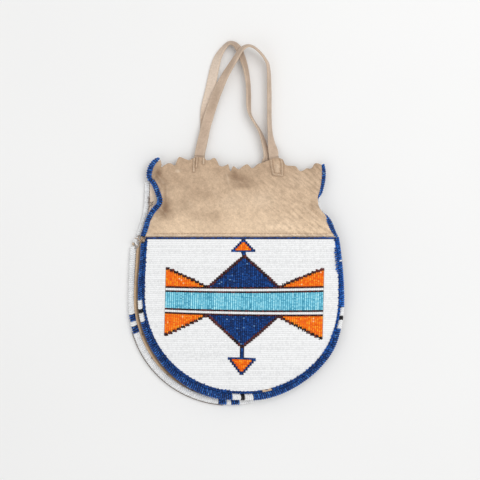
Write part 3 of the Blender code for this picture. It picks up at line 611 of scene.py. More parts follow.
def string_beads(name, threads, finish, width=BEAD_WIDE, length=BEAD_LONG, seed=1, uneven=0.07, tilt=0.10,
                 bed=None):
    """Turns threads, each a list of bead centres with their direction, into one mesh of beads.
    A bed is the waxed thread packed between them, seen only in the gaps, at this plate's place."""
    points, ways, rows = [], [], []
    for row, thread in enumerate(threads):
        for centre, way in thread:
            points.append([c * 0.001 for c in centre])
            ways.extend(way)
            rows.append(row)
    mesh = bpy.data.meshes.new(name)
    mesh.from_pydata(points, [], [])
    mesh.attributes.new("along", "FLOAT_VECTOR", "POINT").data.foreach_set("vector", ways)
    mesh.attributes.new("row", "INT", "POINT").data.foreach_set("value", rows)
    holder = bpy.data.objects.new(name + "_threads", mesh)
    scene.collection.objects.link(holder)
    step = holder.modifiers.new("beads", "NODES")
    step.node_group = strung_beads
    values = {"Bead": seed_bead, "Width": width * 0.001, "Length": length * 0.001, "Unevenness": uneven,
              "Tilt": tilt, "Finish": finish, "Seed": seed}
    for item in strung_beads.interface.items_tree:
        if item.in_out == "INPUT" and item.name in values:
            step[item.identifier] = values[item.name]
    settled = holder.evaluated_get(bpy.context.evaluated_depsgraph_get())
    piece = bpy.data.objects.new(name, bpy.data.meshes.new_from_object(settled))
    scene.collection.objects.link(piece)
    bpy.data.objects.remove(holder, do_unlink=True)
    if bed:
        join_to(piece, bed_under(bed, finish))
    return piece


def spaced(line, pitch):
    """Places spaced evenly along a line, as many as fit it: how far each is along the line, on which
    stretch and how far along that, the place itself, and the line's direction there."""
    lengths = [0.0]
    for a, b in zip(line, line[1:]):
        lengths.append(lengths[-1] + math.dist(a, b))
    count = max(1, round(lengths[-1] / pitch))
    stretch = 0
    for k in range(count):
        goal = lengths[-1] * (k + 0.5) / count
        while stretch < len(line) - 2 and lengths[stretch + 1] < goal:
            stretch += 1
        a, b = Vector(line[stretch]), Vector(line[stretch + 1])
        span = (b - a).length or 1.0
        part = (goal - lengths[stretch]) / span
        yield goal, stretch, part, a.lerp(b, part), (b - a) / span


def set_along(line, pitch):
    """A thread of beads along a line: their centres, each with the line's direction."""
    return [(centre, way) for *_, centre, way in spaced(line, pitch)]


def glass_beads(name, dark, plain, bright, rough=0.16, lots=0.25, painted_glint=None, painted_lit=False):
    """Drawn glass: each bead its own tone, and each thread's lot of beads a shade of its own. A few beads
    at random carry a painted glint's colour, and some glass has painted light toward the bag's right side."""
    glass = Finish(name, IOR=1.52, Specular_IOR_Level=0.2, Coat_Weight=0.07, Coat_Roughness=0.08)
    tone = glass.attribute("tone") * (1 - lots) + glass.attribute("lot") * lots
    colour = glass.ramp(tone, (0.08, dark), (0.5, plain), (0.94, bright))
    if painted_glint:
        # painted glints: a few beads at random take a pale glint colour
        colour = glass.mix(glass.spread(glass.attribute("tone"), 0.978, 0.986), colour, painted_glint)
    # painted light: glass toward the bag's right side made up to 1.75 times lighter
    if painted_lit:
        across = glass.node("ShaderNodeSeparateXYZ", None, {"Vector": glass.position()})
        paler = glass.mix(1.0, colour, (1.75, 1.8, 1.75), "MULTIPLY")
        colour = glass.mix(glass.spread(across, 0.070, 0.092), colour, paler)
    rough = rough + 0.12 * glass.attribute("tone")
    return glass.finish(colour, rough, glass.noise(2600.0, 1.0), depth=0.00003, strength=0.3)


white_glass = glass_beads(
    "opaque_white_glass", (0.80, 0.805, 0.81), (0.915, 0.92, 0.925), (0.95, 0.955, 0.96), 0.24, 0.45)
cobalt_glass = glass_beads(
    "cobalt_glass", (0.002, 0.016, 0.080), (0.003, 0.042, 0.195), (0.009, 0.090, 0.38), 0.12,
    painted_glint=(0.12, 0.26, 0.50))
lane_glass = glass_beads(
    "cobalt_lane_glass", (0.002, 0.016, 0.080), (0.003, 0.040, 0.190), (0.010, 0.095, 0.40), 0.1, 0.4,
    painted_lit=True)
oxblood_glass = glass_beads(
    "oxblood_glass", (0.012, 0.005, 0.006), (0.040, 0.008, 0.010), (0.13, 0.026, 0.022), 0.15)
orange_glass = glass_beads(
    "orange_glass", (0.80, 0.115, 0.002), (1.0, 0.210, 0.003), (1.0, 0.42, 0.020), 0.14,
    painted_glint=(1.0, 0.62, 0.32))
turquoise_glass = glass_beads(
    "turquoise_glass", (0.06, 0.33, 0.48), (0.26, 0.72, 0.88), (0.50, 0.92, 1.0), 0.2, 0.45)


def surface_of(node):
    """A solid plate's surface, to find what lies over it, and its bounds across and up."""
    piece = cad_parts[node]
    points = [piece.matrix_world @ v.co * 1000 for v in piece.data.vertices]
    tree = BVHTree.FromPolygons(points, [p.vertices for p in piece.data.polygons])
    xs, ys = [p.x for p in points], [p.y for p in points]
    return tree, (min(xs), max(xs), min(ys), max(ys))


def height_on(tree, x, y):
    hit = tree.ray_cast((x, y, 60.0), (0, 0, -1))[0]
    return None if hit is None else hit.z


def runs_over(tree, line, guard=0.0):
    """The stretches of a line of (x, y) that lie over a plate, at the height of bead centres. A guard
    keeps them that far inside the plate, across the line."""
    runs, run = [], []
    for x, y in line:
        z = height_on(tree, x, y)
        if guard and None in (height_on(tree, x, y + guard), height_on(tree, x, y - guard)):
            z = None
        if z is not None:
            run.append((x, y, z - 0.5 * BEAD_WIDE))
        elif run:
            runs.append(run)
            run = []
    return [r for r in runs + [run] if len(r) > 1]


ROW_PITCH = 1.895
FIRST_ROW = 1.298
SNUG = 1.2
ground, (left, right, low, high) = surface_of("white_ground")
chance = random.Random(12)
ground_rows = []
row_count = int((high - low) / ROW_PITCH)
for k in range(row_count):
    y = high - FIRST_ROW - ROW_PITCH * k + chance.uniform(-0.04, 0.04)
    bow = chance.uniform(-0.12, 0.12)
    line = []
    for x in steps(left, right, 0.5):
        line.append((x, y + bow * (x / 90) ** 2 + 0.10 * noise.noise((x * 0.06, y, 0))))
    for run in runs_over(ground, line, guard=0.2):
        ground_rows.append(set_along(run, SNUG))
ground_rows.sort(key=lambda thread: -thread[0][0].y)
fifth = sum(len(thread) for thread in ground_rows) / 5
parts, held = [[]], 0
for thread in ground_rows:
    if held > fifth and len(parts) < 5:
        parts.append([])
        held = 0
    parts[-1].append(thread)
    held += len(thread)
for k, part in enumerate(parts):
    piece = string_beads(f"ground_rows_{k + 1}", part, white_glass, width=1.78, length=1.46, seed=20 + k,
                         uneven=0.03, tilt=0.04, bed=None if k else "white_ground")
    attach(piece, "bag")
    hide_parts("white_ground")


# The figure: a stepped diamond crossed by a turquoise band, with four stepped wings and an arrowhead
# above and below. Orange, cobalt, oxblood and white beads are strung in upright lanes 2 mm apart,
# lane beside lane across the band, and the steps follow the lanes.

LANE = 2.0
LINE_STEP = 0.2
LOWEST, HIGHEST = -75.0, 65.0


def figure_line(lane_x):
    """One upright lane, leaning and sagging as the stitcher's hand let it."""
    line = []
    for y in steps(LOWEST, HIGHEST, LINE_STEP):
        part = lane_x / 75.0
        drop = 0.6 * max(0.0, 1 - y / 10.7) * part
        drift = -1.1 * clamp((y - 43.7) / 3.0)
        line.append((1.6 + lane_x + 0.024 * y + drift, -1.8 + y + part * part - drop))
    return line


figure_lanes = [figure_line((k + 0.5) * LANE) for k in range(-37, 38)]
arrow_lanes = {
    "upper_arrow": [figure_line(1.8 * k) for k in range(-5, 6)],
    "lower_arrow": [figure_line(1.85 * k) for k in range(-6, 7)],
}
arrow_tips = {"upper_arrow_edge": 10.6, "lower_arrow_edge": 12.4}
white, brown = (white_glass, "white_beads"), (oxblood_glass, "brown_beads")
blue, orange = (cobalt_glass, "blue_beads"), (orange_glass, "orange_beads")
figure_parts = {"turquoise_band": (turquoise_glass, "turquoise_beads")}
for beads, names in (
        (white, ("upper_white_stripe", "lower_white_stripe")),
        (brown, ("upper_inner_line", "upper_outer_line", "lower_inner_line", "lower_outer_line")),
        (blue, ("upper_diamond", "lower_diamond")), (brown, ("upper_diamond_edge", "lower_diamond_edge")),
        (orange, ("upper_arrow", "lower_arrow")), (blue, ("upper_arrow_edge", "lower_arrow_edge"))):
    for name in names:
        figure_parts[name] = beads
for half in ("upper", "lower"):
    for side in ("left", "right"):
        figure_parts[f"{half}_{side}_wing"] = orange
        figure_parts[f"{half}_{side}_wing_edge"] = brown

WING_OUT, WING_LONG, WING_SWELL = 75.0, 38.0, 0.7


def fuller(run, node):
    """The wings' steps bulge a little over a straight line from corner to corner."""
    inward = (WING_OUT - abs(run[0][0])) / WING_LONG
    reach = WING_SWELL * clamp(inward / 0.15) * clamp((1 - inward) / 0.12)
    up = 1 if node.startswith("upper") else -1
    if node.endswith("edge"):
        return [(x, y + up * reach, z) for x, y, z in run]
    x, y, z = run[-1] if up > 0 else run[0]
    more = [(x, y + up * LINE_STEP * (i + 1), z) for i in range(round(reach / LINE_STEP))]
    return run + more if up > 0 else more[::-1] + run


def outer_of_pair(lanes, number, node):
    """The wings step every second lane: of each pair, the lane farther from the bag's middle."""
    if "left" in node:
        return lanes[number - number % 2]
    return lanes[min(len(lanes) - 1, number + number % 2)]


def cut_short(lane, low, high):
    return [p for p in lane if low - 1 < p[1] < high + 1]


for k, (node, (glass, slot)) in enumerate(figure_parts.items()):
    tree, (left, right, low, high) = surface_of(node)
    lanes = list(arrow_lanes.get(node.replace("_edge", ""), figure_lanes))
    if node in arrow_tips:
        lanes += [figure_line(-arrow_tips[node]), figure_line(arrow_tips[node])]
    threads = []
    for number, lane in enumerate(lanes):
        across = lane[len(lane) // 2][0]
        runs = runs_over(tree, cut_short(lane, low, high)) if left - 1 < across < right + 1 else []
        if "wing" in node and runs:
            outer = outer_of_pair(lanes, number, node)
            beside = runs_over(tree, cut_short(outer, low, high))
            shift = across - outer[len(outer) // 2][0] if beside else 0.0
            runs = [fuller([(x + shift, y, z) for x, y, z in run], node) for run in beside or runs]
        threads += [set_along(run, 1.26) for run in runs]
    width, length, uneven = 2.0, 1.34, 0.07
    if node == "turquoise_band":
        width, length = 1.58, 1.42
    if node.endswith("wing"):
        width = 1.82
    if node.endswith(("wing_edge", "diamond_edge")):
        width, length, uneven = 2.45, 2.7, 0.15
    if node.endswith("line"):
        width, length, uneven = 2.25, 1.6, 0.15
    piece = string_beads(f"{node}_lanes", threads, glass, width, length, 40 + k, uneven, bed=node)
    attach(piece, "bag")
    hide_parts(node)


# The border: one lane of cobalt beads sewn round the ground just inside the rolled edge, two to a
# stitch and in line with its wraps, and one row along the top, where the beads end at the bare neck.

border_tree, _ = surface_of("border_lane")
chance = random.Random(33)
border_threads = []
BARE_FROM, BARE_TO = 22.0, 32.0
lane_reach = QUARTER + 56.6
for k, s in enumerate(steps(-lane_reach, lane_reach, 1.95)):
    near = edging_width(s)
    z = height_on(border_tree, *edge_point(s, near + 1.25))
    if z is not None and not BARE_FROM + 0.3 < s < BARE_TO - 0.7:
        wider = 1.6 * clamp((s - QUARTER - 25.5) / 2.0) * clamp((QUARTER + 51.0 - s) / 5.0)
        inner = near + 2.4 + wider + (0.45 if k % 2 else -0.15) + chance.uniform(-0.25, 0.25)
        proud = 0.5 if s > 40 else 0.0
        ends = [(*edge_point(s + 0.45, near), z - 0.6 + proud),
                (*edge_point(s - 0.45, inner), z - 0.75 + proud + 0.75 * wider)]
        border_threads.append(set_along(ends, SNUG))
bare = [edge_point(s, edging_width(s) + 0.2) for s in steps(BARE_FROM, BARE_TO, 1.2)]
bare += [edge_point(s, edging_width(s) + 2.0 - 0.5 * math.sin(s)) for s in steps(BARE_TO, BARE_FROM, 1.2)]
bare_height = height_on(border_tree, *edge_point(25.0, edging_width(25.0) + 1.2))
bare_hide = cut_hide("bare_border_hide", bare, lambda x, y: bare_height - 0.85, 0.8, 0.8, buckskin, 0.6)
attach(bare_hide, "bag")
border = string_beads(
    "border_beads", border_threads, lane_glass, 1.7, seed=81, tilt=0.12, bed="border_lane")
top_line = []
for x in steps(-89.0, 87.0, 0.8):
    top_line.append((x, BEADS_TOP - 0.95 + 0.5 * noise.noise((x * 0.11, 7.0, 1.0))))
top_row = [set_along(run, 1.32) for run in runs_over(border_tree, top_line)]
join_to(border, string_beads("top_row", top_row, lane_glass, width=1.6, seed=82, tilt=0.12))
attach(border, "bag")
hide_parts("border_lane")


# The rolled edging: short strings of beads wrapped over the seam, one against the next, so that the
# edge reads as a fat slanting cord of glass. The front is cobalt with white, black and white blocks,
# and the back is white with pairs of cobalt blocks. A thin roll of hide is the core.

WRAP_PITCH = 2.02
WRAP_BEAD_LONG = 1.36
WRAP_COVER, WRAP_TURN, WRAP_STEPS = 300.0, 30.0, 24
CORE_UNDER = 0.75
blue_wraps = glass_beads(
    "cobalt_wrap_glass", (0.005, 0.038, 0.178), (0.010, 0.082, 0.350), (0.052, 0.205, 0.62), 0.1, 0.3,
    painted_glint=(0.16, 0.34, 0.62))
# painted light: lighter wrap glass for the front's upper right edging
right_lit_wraps = glass_beads(
    "right_lit_wrap_glass", (0.0075, 0.057, 0.265), (0.016, 0.125, 0.52), (0.078, 0.31, 0.85), 0.1, 0.3,
    painted_glint=(0.20, 0.40, 0.70))
black_glass = glass_beads(
    "black_glass", (0.006, 0.006, 0.007), (0.012, 0.011, 0.012), (0.03, 0.028, 0.03), 0.12)


def wrapped(line, widths, height, middle, bead, slant):
    """Wraps of beads over a flat line: one thread a wrap, from under the edge round to its top."""
    threads = []
    for along, stretch, part, centre, way in spaced(line, WRAP_PITCH):
        side = Vector((way.y, -way.x))
        width = widths[stretch] + (widths[stretch + 1] - widths[stretch]) * part
        loop = []
        for step in range(WRAP_STEPS + 1):
            turn = math.radians(90 + WRAP_COVER * (0.5 - step / WRAP_STEPS))
            round_it = turn - math.radians(WRAP_TURN)
            shift = slant * math.sin(turn) + 0.12 * noise.noise((along * 0.4, 7.0, 1.0))
            place = centre + side * 0.5 * (width - bead) * math.cos(round_it) + way * shift
            z = middle(centre.x, centre.y) + 0.5 * (height - bead) * math.sin(round_it)
            loop.append((place.x, place.y, z))
        threads.append(set_along(loop, WRAP_BEAD_LONG))
    return threads


def edging_core(name, line, widths, height, middle, finish):
    """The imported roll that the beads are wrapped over, seen only between them."""
    rings = []
    for i, (x, y) in enumerate(line):
        a, b = Vector(line[max(0, i - 1)]), Vector(line[min(len(line) - 1, i + 1)])
        way = (b - a).normalized()
        ring = []
        for k in range(10):
            turn = math.tau * k / 10
            out = (0.5 * widths[i] - CORE_UNDER) * math.cos(turn)
            z = middle(x, y) + (0.5 * height - CORE_UNDER) * math.sin(turn)
            ring.append((x + way.y * out, y - way.x * out, z))
        rings.append(ring)
    core = as_mesh(name, *skin(rings), finish=finish)
    turn_out(core)
    return core


def thread_finish(name, colour, other, rough=0.6, scale=900.0):
    """Waxed thread or sinew, whose twist shows as a fine change of tone."""
    thread = Finish(name)
    twist = thread.noise(scale, 2.0)
    return thread.finish(thread.mix(twist, colour, other), rough + 0.2 * twist, twist)


# painted shade: the blue edging's packing thread made near-black to stand for the shade between wraps
blue_packing_shade = thread_finish("blue_packing_shade", (0.002, 0.007, 0.030), (0.0012, 0.0042, 0.018))
white_packing = thread_finish("white_packing", (0.93, 0.93, 0.93), (0.558, 0.558, 0.558))
wraps = {
    "blue": (blue_wraps, blue_packing_shade, 1.46),
    "white": (white_glass, white_packing, 1.86),
    "black": (black_glass, blue_packing_shade, 1.76),
}


def edge_run(node, tone, line, widths, height, middle, seed, slant=0.9):
    """A stretch of edging in one colour of bead. The caller lets it ride."""
    glass, packing, bead = wraps[tone]
    # painted light on the front's upper right edging
    if node == "front_edge_right_top":
        glass = right_lit_wraps
    threads = wrapped(line, widths, height, middle, bead, slant)
    piece = string_beads(f"{node}_wraps", threads, glass, bead, WRAP_BEAD_LONG, seed, tilt=0.12)
    join_to(piece, edging_core(f"{node}_core", line, widths, height, middle, packing))
    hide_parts(node)
    return piece


def stretches(panel, first, last, tones, parts, blocks):
    """A panel's edging in order: each stretch's name and colour, and where it starts and ends. A block
    parts two plain stretches with a dark or light middle between two like ends."""
    plain, outer, inner = tones
    names, colours, marks = [f"{panel}_edge_left_top"], [plain], [first]
    for place, following, at, reach, gap in blocks:
        names += [f"{panel}_edge_{place}_{part}" for part in parts] + [f"{panel}_edge_{following}"]
        colours += [outer, inner, outer, plain]
        marks += [at - reach, at - gap, at + gap, at + reach]
    return zip(names, colours, marks, marks[1:] + [last])


FRONT_ROLL_HIGH, FRONT_ROLL_AT = 5.0, 9.6
BACK_ROLL_HIGH, BACK_ROLL_AT = 4.4, 2.8
front_stretches = stretches(
    "front", -QUARTER - 54.2, QUARTER + 58.95, ("blue", "white", "black"), ("white_a", "black", "white_b"),
    (("left", "left_foot", -142.5, 10.4, 1.9), ("foot", "right_foot", 0.7, 10.4, 1.9),
     ("right", "right_top", 134.6, 10.4, 1.9)))
for k, (node, tone, start, end) in enumerate(front_stretches):
    stations = steps(start, end, 1.0)
    line = [edge_point(s, 0.5 * (edging_width(s) + 0.7 - front_slack(s) + drawn_up(s))) for s in stations]
    widths = [edging_width(s) + 0.7 + front_slack(s) - drawn_up(s) for s in stations]
    piece = edge_run(node, tone, line, widths, FRONT_ROLL_HIGH, lambda x, y: FRONT_ROLL_AT, 100 + k, 1.1)
    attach(piece, "bag")

back_stretches = stretches(
    "back", -QUARTER - 54.0, QUARTER + 52.25, ("white", "blue", "white"), ("blue_a", "link", "blue_b"),
    (("left", "left_foot", -133.0, 9.4, 2.2), ("foot", "right", -3.4, 10.4, 2.2)))
for k, (node, tone, start, end) in enumerate(back_stretches):
    stations = steps(start, end, 1.0)
    line = on_back([edge_point(s, 0.5 * (back_roll_inset(s) - 1.5 * slack(s))) for s in stations])
    widths = [back_roll_inset(s) + 0.5 * slack(s) for s in stations]
    if node == "back_edge_right":
        line += back_right
        widths += [6.2] * len(back_right)
    piece = edge_run(node, tone, line, widths, BACK_ROLL_HIGH, lambda x, y: BACK_ROLL_AT, 130 + k)
    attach(piece, "bag")
widths = [5.2] * len(back_left)
piece = edge_run("back_neck_edge_left", "white", back_left, widths, 3.9, lambda x, y: 2.2, 150)
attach(piece, "bag")


# The neck: the front's bare hide above the beads, softened by handling. Its top edge was cut into
# uneven points by hand, and it is creased, stained and drawn up along its rolled edges, with painted
# light and shade on its creases and painted shade among its stains. The sewn ends of the front handle
# press through it from inside.

# Each crease's two ends on the grid, how far it rises or sinks, and its width.
CREASES = [((300, 203), (330, 228), 0.55, 1.2), ((306, 214), (336, 234), 0.60, 1.1),
           ((312, 203), (326, 219), 0.45, 0.9), ((296, 220), (322, 232), 0.35, 1.3),
           ((318, 222), (330, 232), -0.45, 0.9), ((262, 236), (318, 234), 0.30, 0.8),
           ((158, 206), (168, 216), 0.50, 1.4), ((150, 222), (166, 214), 0.45, 1.2),
           ((155, 172), (166, 186), 0.45, 1.6), ((164.5, 185), (164.8, 199), -0.70, 1.3),
           ((232, 184), (251, 188), -0.35, 1.6), ((226, 172), (229, 184), 0.60, 1.6),
           ((206, 192), (216, 204), -0.35, 3.0), ((290, 176), (306, 186), -0.25, 1.2),
           ((289, 181), (305, 191), 0.25, 1.0), ((296, 173), (312, 184), 0.25, 1.0),
           ((186, 196), (196, 214), 0.30, 2.6), ((214, 168), (219, 182), 0.25, 1.2)]
# The two rolled sides: places on the grid, from the fold up, with the roll's width.
LEFT_ROLL = [
    (142.7, 236.6, 4.9), (143.4, 234.9, 5.2), (144.9, 231.0, 5.4), (146.5, 225.7, 5.6), (148.1, 220.3, 5.7),
    (150.2, 215.7, 5.7), (152.8, 211.2, 5.8), (156.6, 207.3, 5.8), (159.2, 204.0, 5.8), (159.9, 199.9, 5.8),
    (158.6, 195.1, 5.7), (156.6, 189.7, 5.6), (154.6, 185.1, 5.4), (152.4, 181.5, 5.1), (150.0, 179.5, 4.9),
    (149.0, 176.6, 5.3), (149.2, 172.7, 5.7), (150.2, 168.6, 5.7), (152.2, 164.5, 5.4), (155.0, 161.0, 4.8),
    (157.4, 159.3, 3.8), (159.0, 158.0, 2.4)]
RIGHT_ROLL = [
    (337.2, 236.8, 2.8), (334.6, 233.4, 4.2), (332.2, 229.3, 5.4), (330.2, 224.2, 5.7), (327.3, 218.6, 4.7),
    (324.4, 215.0, 3.2), (319.4, 209.8, 1.9), (317.0, 205.9, 1.9), (316.4, 202.6, 1.9), (317.6, 198.4, 2.0),
    (320.6, 193.4, 3.1), (322.2, 187.4, 3.8), (323.5, 180.2, 4.3), (323.9, 174.4, 4.3), (323.8, 169.1, 4.0),
    (323.1, 164.3, 3.3)]
WAIST_Y = 90.6
# Each stain's place, its reach across and up in steps of the grid, and its strength. Below 0 it is pale.
# Some are
# painted shade: by the notch in the top edge and along the left roll.
STAINS_AND_SHADE = [
    (233, 175, 5, 5, 0.52), (240, 178, 9, 6, 0.48), (249, 181, 9, 6, 0.30), (243, 186, 13, 4, 0.40),
    (204, 195, 13, 8, 0.30), (214, 216, 10, 6, 0.24), (199, 215, 13, 6, 0.20), (183, 204, 9, 9, 0.25),
    (165, 201, 4, 13, 0.62), (170, 205, 5, 9, 0.28), (190, 190, 15, 11, 0.10), (162, 212, 10, 8, 0.62),
    (277.2, 168, 2.6, 5, -0.50), (158, 174, 4, 6, 1.05), (163, 182, 5, 6, 0.35), (176, 180, 8, 5, 0.22),
    (153, 229, 8, 6, 0.30), (300, 180, 16, 9, -0.16), (218, 170, 8, 5, 0.20), (262, 200, 14, 9, -0.25),
    (231, 203, 13, 7, -0.20), (178, 171, 2, 1.4, -0.8), (280, 226, 22, 6, -0.20), (318, 206, 8, 12, 0.15)]
# Where the handle's sewn ends print through the hide.
TAB_MARKS = [
    [(194.3, 157.2), (193.7, 171.2)], [(197.0, 157.0), (195.9, 167.0)], [(203.6, 158.4), (203.4, 163.5)],
    [(271.0, 160.0), (271.6, 166.0), (273.4, 174.2), (282.2, 175.2), (282.2, 164.0), (281.0, 159.4)]]
creases = [(placed(*start), placed(*end), rise, wide) for start, end, rise, wide in CREASES]
stains_and_shade = [(*placed(x, y), GRID * wide, GRID * high, strength) for x, y, wide, high, strength in STAINS_AND_SHADE]
tab_marks = [[placed(*p) for p in mark] for mark in TAB_MARKS]
left_roll = curve_through([(*placed(*p[:2]), p[2]) for p in LEFT_ROLL], 4)
right_roll = curve_through([(*placed(*p[:2]), p[2]) for p in RIGHT_ROLL], 5)


def hump(distance, width):
    """1 on a line or at a place, dying away to either side of it."""
    return math.exp(-(distance / width) ** 2)


def near_line(x, y, start, end):
    """Distance from a line's stretch, and how far along it the nearest point is."""
    (ax, ay), (bx, by) = start, end
    span = (bx - ax) ** 2 + (by - ay) ** 2
    t = clamp(((x - ax) * (bx - ax) + (y - ay) * (by - ay)) / span)
    return math.hypot(x - ax - t * (bx - ax), y - ay - t * (by - ay)), t


def near_mark(x, y, mark):
    return min(near_line(x, y, a, b)[0] for a, b in zip(mark, mark[1:]))


def over_roll(y):
    """1 where the hide has worked its way over the right roll, which it hides for a finger's width."""
    away = y - WAIST_Y
    return clamp(1.2 - away / 8.7 if away > 0 else 2.2 + away / 7.8)


right_reach = [(y, x) for x, y, _ in right_roll]


def turned_over(x, y):
    near = clamp((x - read_between(right_reach, y) + 6.5) / 4.0)
    return over_roll(y) * near * near * (3 - 2 * near)


def corner_curl(x, y):
    """The neck's upper left corner, which curls up off the table."""
    return max(0.0, 1 - math.hypot(x + 84.0, y - 132.0) / 22) ** 2


def neck_relief(x, y):
    """How far the neck's hide rises or sinks from its plain lie."""
    up = y - FOLD_Y
    rise = 0.75 * hump(up - 2.9, 0.9) - 0.25 * hump(up - 1.3, 0.6)
    cockle = 0.75 * noise.noise((x * 0.035, y * 0.04, 3.0)) + 0.28 * noise.noise((x * 0.11, y * 0.12, 8.0))
    rise += min(1.0, up / 14) * (cockle + 0.10 * noise.noise((x * 0.36, y * 0.34, 5.0)))
    for start, end, height, width in creases:
        gap, t = near_line(x, y, start, end)
        if gap < 4 * width:
            rise += height * hump(gap, width) * math.sin(math.pi * min(1.0, 0.23 + 0.7 * t))
    for mark in tab_marks:
        gap = near_mark(x, y, mark)
        rise += 0.90 * hump(gap, 0.65) - 0.55 * hump(gap - 1.35, 0.55)
    torn_curl = max(0.0, 1 - math.hypot(x - 72.0, y - 130.0) / 9) ** 2
    edge_wave = max(0.0, (y - 112) / 24) * math.sin(x * 0.32 + 1.0)
    return rise + 2.6 * turned_over(x, y) + 3.2 * corner_curl(x, y) + 3.0 * torn_curl + 0.5 * edge_wave


def neck_lie(x, y):
    return front_bulge(x, y) + neck_relief(x, y)


left_cut = side_shift([p[:2] for p in left_roll][::-1], 2.2)
right_cut = [(x + 3.2 * over_roll(y), y) for x, y in side_shift([p[:2] for p in right_roll], 1.5)]
right_cut[0] = (right_cut[0][0], FOLD_Y)
left_cut[-1] = (left_cut[-1][0], FOLD_Y)
top_cut = curve_through([placed(*p) for p in TOP_EDGE], 2)
top_cut = [p for p in top_cut if left_cut[0][0] + 0.4 < p[0] < right_cut[-1][0] - 0.4]


def handled_buckskin_finish():
    """The neck's hide: darker towards its top, mottled, its nap worked into slanting wrinkles towards
    the right, with its stain marks, partly painted shade, and its creases with painted light and shade."""
    hide = Finish("handled_buckskin", Roughness=0.93, Sheen_Weight=0.2, Sheen_Roughness=0.6)
    place = hide.position()
    across, up = (hide.node("ShaderNodeSeparateXYZ", None, {"Vector": place}, out=axis) for axis in "XY")
    height = hide.spread(up, 0.064, 0.126)
    worked = hide.spread(across, 0.0, 0.07) * 0.55 + 0.2
    # the stain attribute holds real stains and painted shade by the notch and along the left roll
    stain, crease = hide.attribute("stain"), hide.attribute("crease")
    cloud = hide.noise(36.0, 5.0, 0.62)
    patch = hide.spread(hide.noise(85.0, 5.0, 0.66), 0.50, 0.74)
    mottle = hide.noise(240.0, 4.0, 0.7)
    fleck = hide.noise(700.0, 3.0, 0.7)
    fibre = hide.noise(2000.0, 2.0, 0.7)
    slanted = hide.node("ShaderNodeMapping", {"vector_type": "TEXTURE"}, {
        "Vector": hide.position(), "Rotation": (0.0, 0.0, math.radians(-40)), "Scale": (1.1, 0.22, 1.0)})
    wrinkle = hide.noise(95.0, 3.0, 0.6, slanted)
    smoked = hide.spread(height * 0.8 + cloud * 0.45, 0.12, 1.05)
    tone = hide.mix(smoked, (0.830, 0.625, 0.430), (0.53, 0.375, 0.25))
    stained_and_shaded = hide.spread(stain + patch * 0.22 * height + cloud * 0.3 - 0.15, 0.0, 1.0)
    tone = hide.mix(stained_and_shaded, tone, (0.27, 0.165, 0.095))
    tone = hide.mix(hide.spread(0.0 - stain, 0.0, 1.2), tone, (0.90, 0.72, 0.54))
    # painted light and shade on the creases: dark in their furrows, light on their ridges
    tone = hide.mix(hide.spread(0.0 - crease, 0.0, 1.3) * 0.45, tone, (0.30, 0.20, 0.13))
    tone = hide.mix(hide.spread(crease, 0.1, 1.3) * 0.5, tone, (0.88, 0.73, 0.57))
    grain = hide.ramp(mottle * 0.6 + fleck * 0.4, (0.32, (0.74, 0.73, 0.72)), (0.66, (1.17, 1.17, 1.17)))
    furrows = hide.ramp(wrinkle, (0.36, (0.74, 0.72, 0.70)), (0.60, (1.12, 1.12, 1.12)))
    tone = hide.mix(worked, hide.mix(1.0, tone, grain, "MULTIPLY"), furrows, "MULTIPLY")
    relief = mottle * 0.9 + fleck * 0.5 + wrinkle * 1.6 * worked + fibre * 0.2
    return hide.finish(tone, 0.84 + 0.12 * fleck, relief, depth=0.0008, strength=0.8)


def stain_and_shade_mark(x, y):
    mark = 0.0
    for cx, cy, wide, high, strength in stains_and_shade:
        mark += strength * hump(x - cx, wide) * hump(y - cy, high)
    return mark


def crease_light_and_shade(x, y):
    """Creases painted light on their ridges and dark in their furrows, and the tab outlines the same way:
    painted light and shade over the relief. Just above the beads, a lighter band with a darker line over
    it.
    """
    up = y - FOLD_Y
    mark = hump(up - 1.3, 0.9) - 0.55 * hump(up - 3.4, 0.7)
    for start, end, rise, wide in creases:
        gap, t = near_line(x, y, start, end)
        if gap < 4 * wide:
            side = hump(gap, wide) - 0.7 * hump(gap - 1.6 * wide, wide)
            mark += rise * side * math.sin(math.pi * min(1.0, 0.15 + 0.7 * t))
    for line in tab_marks:
        gap = near_mark(x, y, line)
        mark += 1.4 * hump(gap, 0.6) - 1.7 * hump(gap - 1.35, 0.55)
    return mark


by_tabs = [placed(a, b) for left, high in ((191, 156), (267, 157)) for a in steps(left, left + 18, 0.6)
           for b in steps(high, high + 21, 0.6)]
neck_outline = right_cut + top_cut[::-1] + left_cut
neck = cut_hide("neck_front", neck_outline, neck_lie, HIDE, 1.1, handled_buckskin_finish(), 0.8, by_tabs)
spots = [(v.co.x * 1000, v.co.y * 1000) for v in neck.data.vertices]
mark_points(neck, "stain", [stain_and_shade_mark(*p) for p in spots])
mark_points(neck, "crease", [crease_light_and_shade(*p) for p in spots])
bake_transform(neck)
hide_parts("front_neck_hide")


def neck_roll_height(x, y):
    """The right roll is tucked under the hide at the waist, and the left one's top end curls up."""
    tucked = max(0.0, 1 - abs(y - WAIST_Y) / 9) if x > 0 else 0.0
    return front_bulge(x, y) + 0.6 - 1.2 * tucked + 3.0 * corner_curl(x, y)


for node, roll, seed in (
        ("front_neck_edge_left", left_roll, 160), ("front_neck_edge_right", right_roll, 161)):
    line = [p[:2] for p in roll]
    widths = [max(1.9, p[2]) for p in roll]
    piece = edge_run(node, "blue", line, widths, 4.4, neck_roll_height, seed, 0.7)
    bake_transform(piece)


sinew_thread = thread_finish("sinew_thread", (0.42, 0.27, 0.16), (0.62, 0.45, 0.30), 0.65, 700.0)


def over_neck(points, lift=0.1):
    return [(x, y, neck_lie(x, y) + HIDE + lift) for x, y in points]


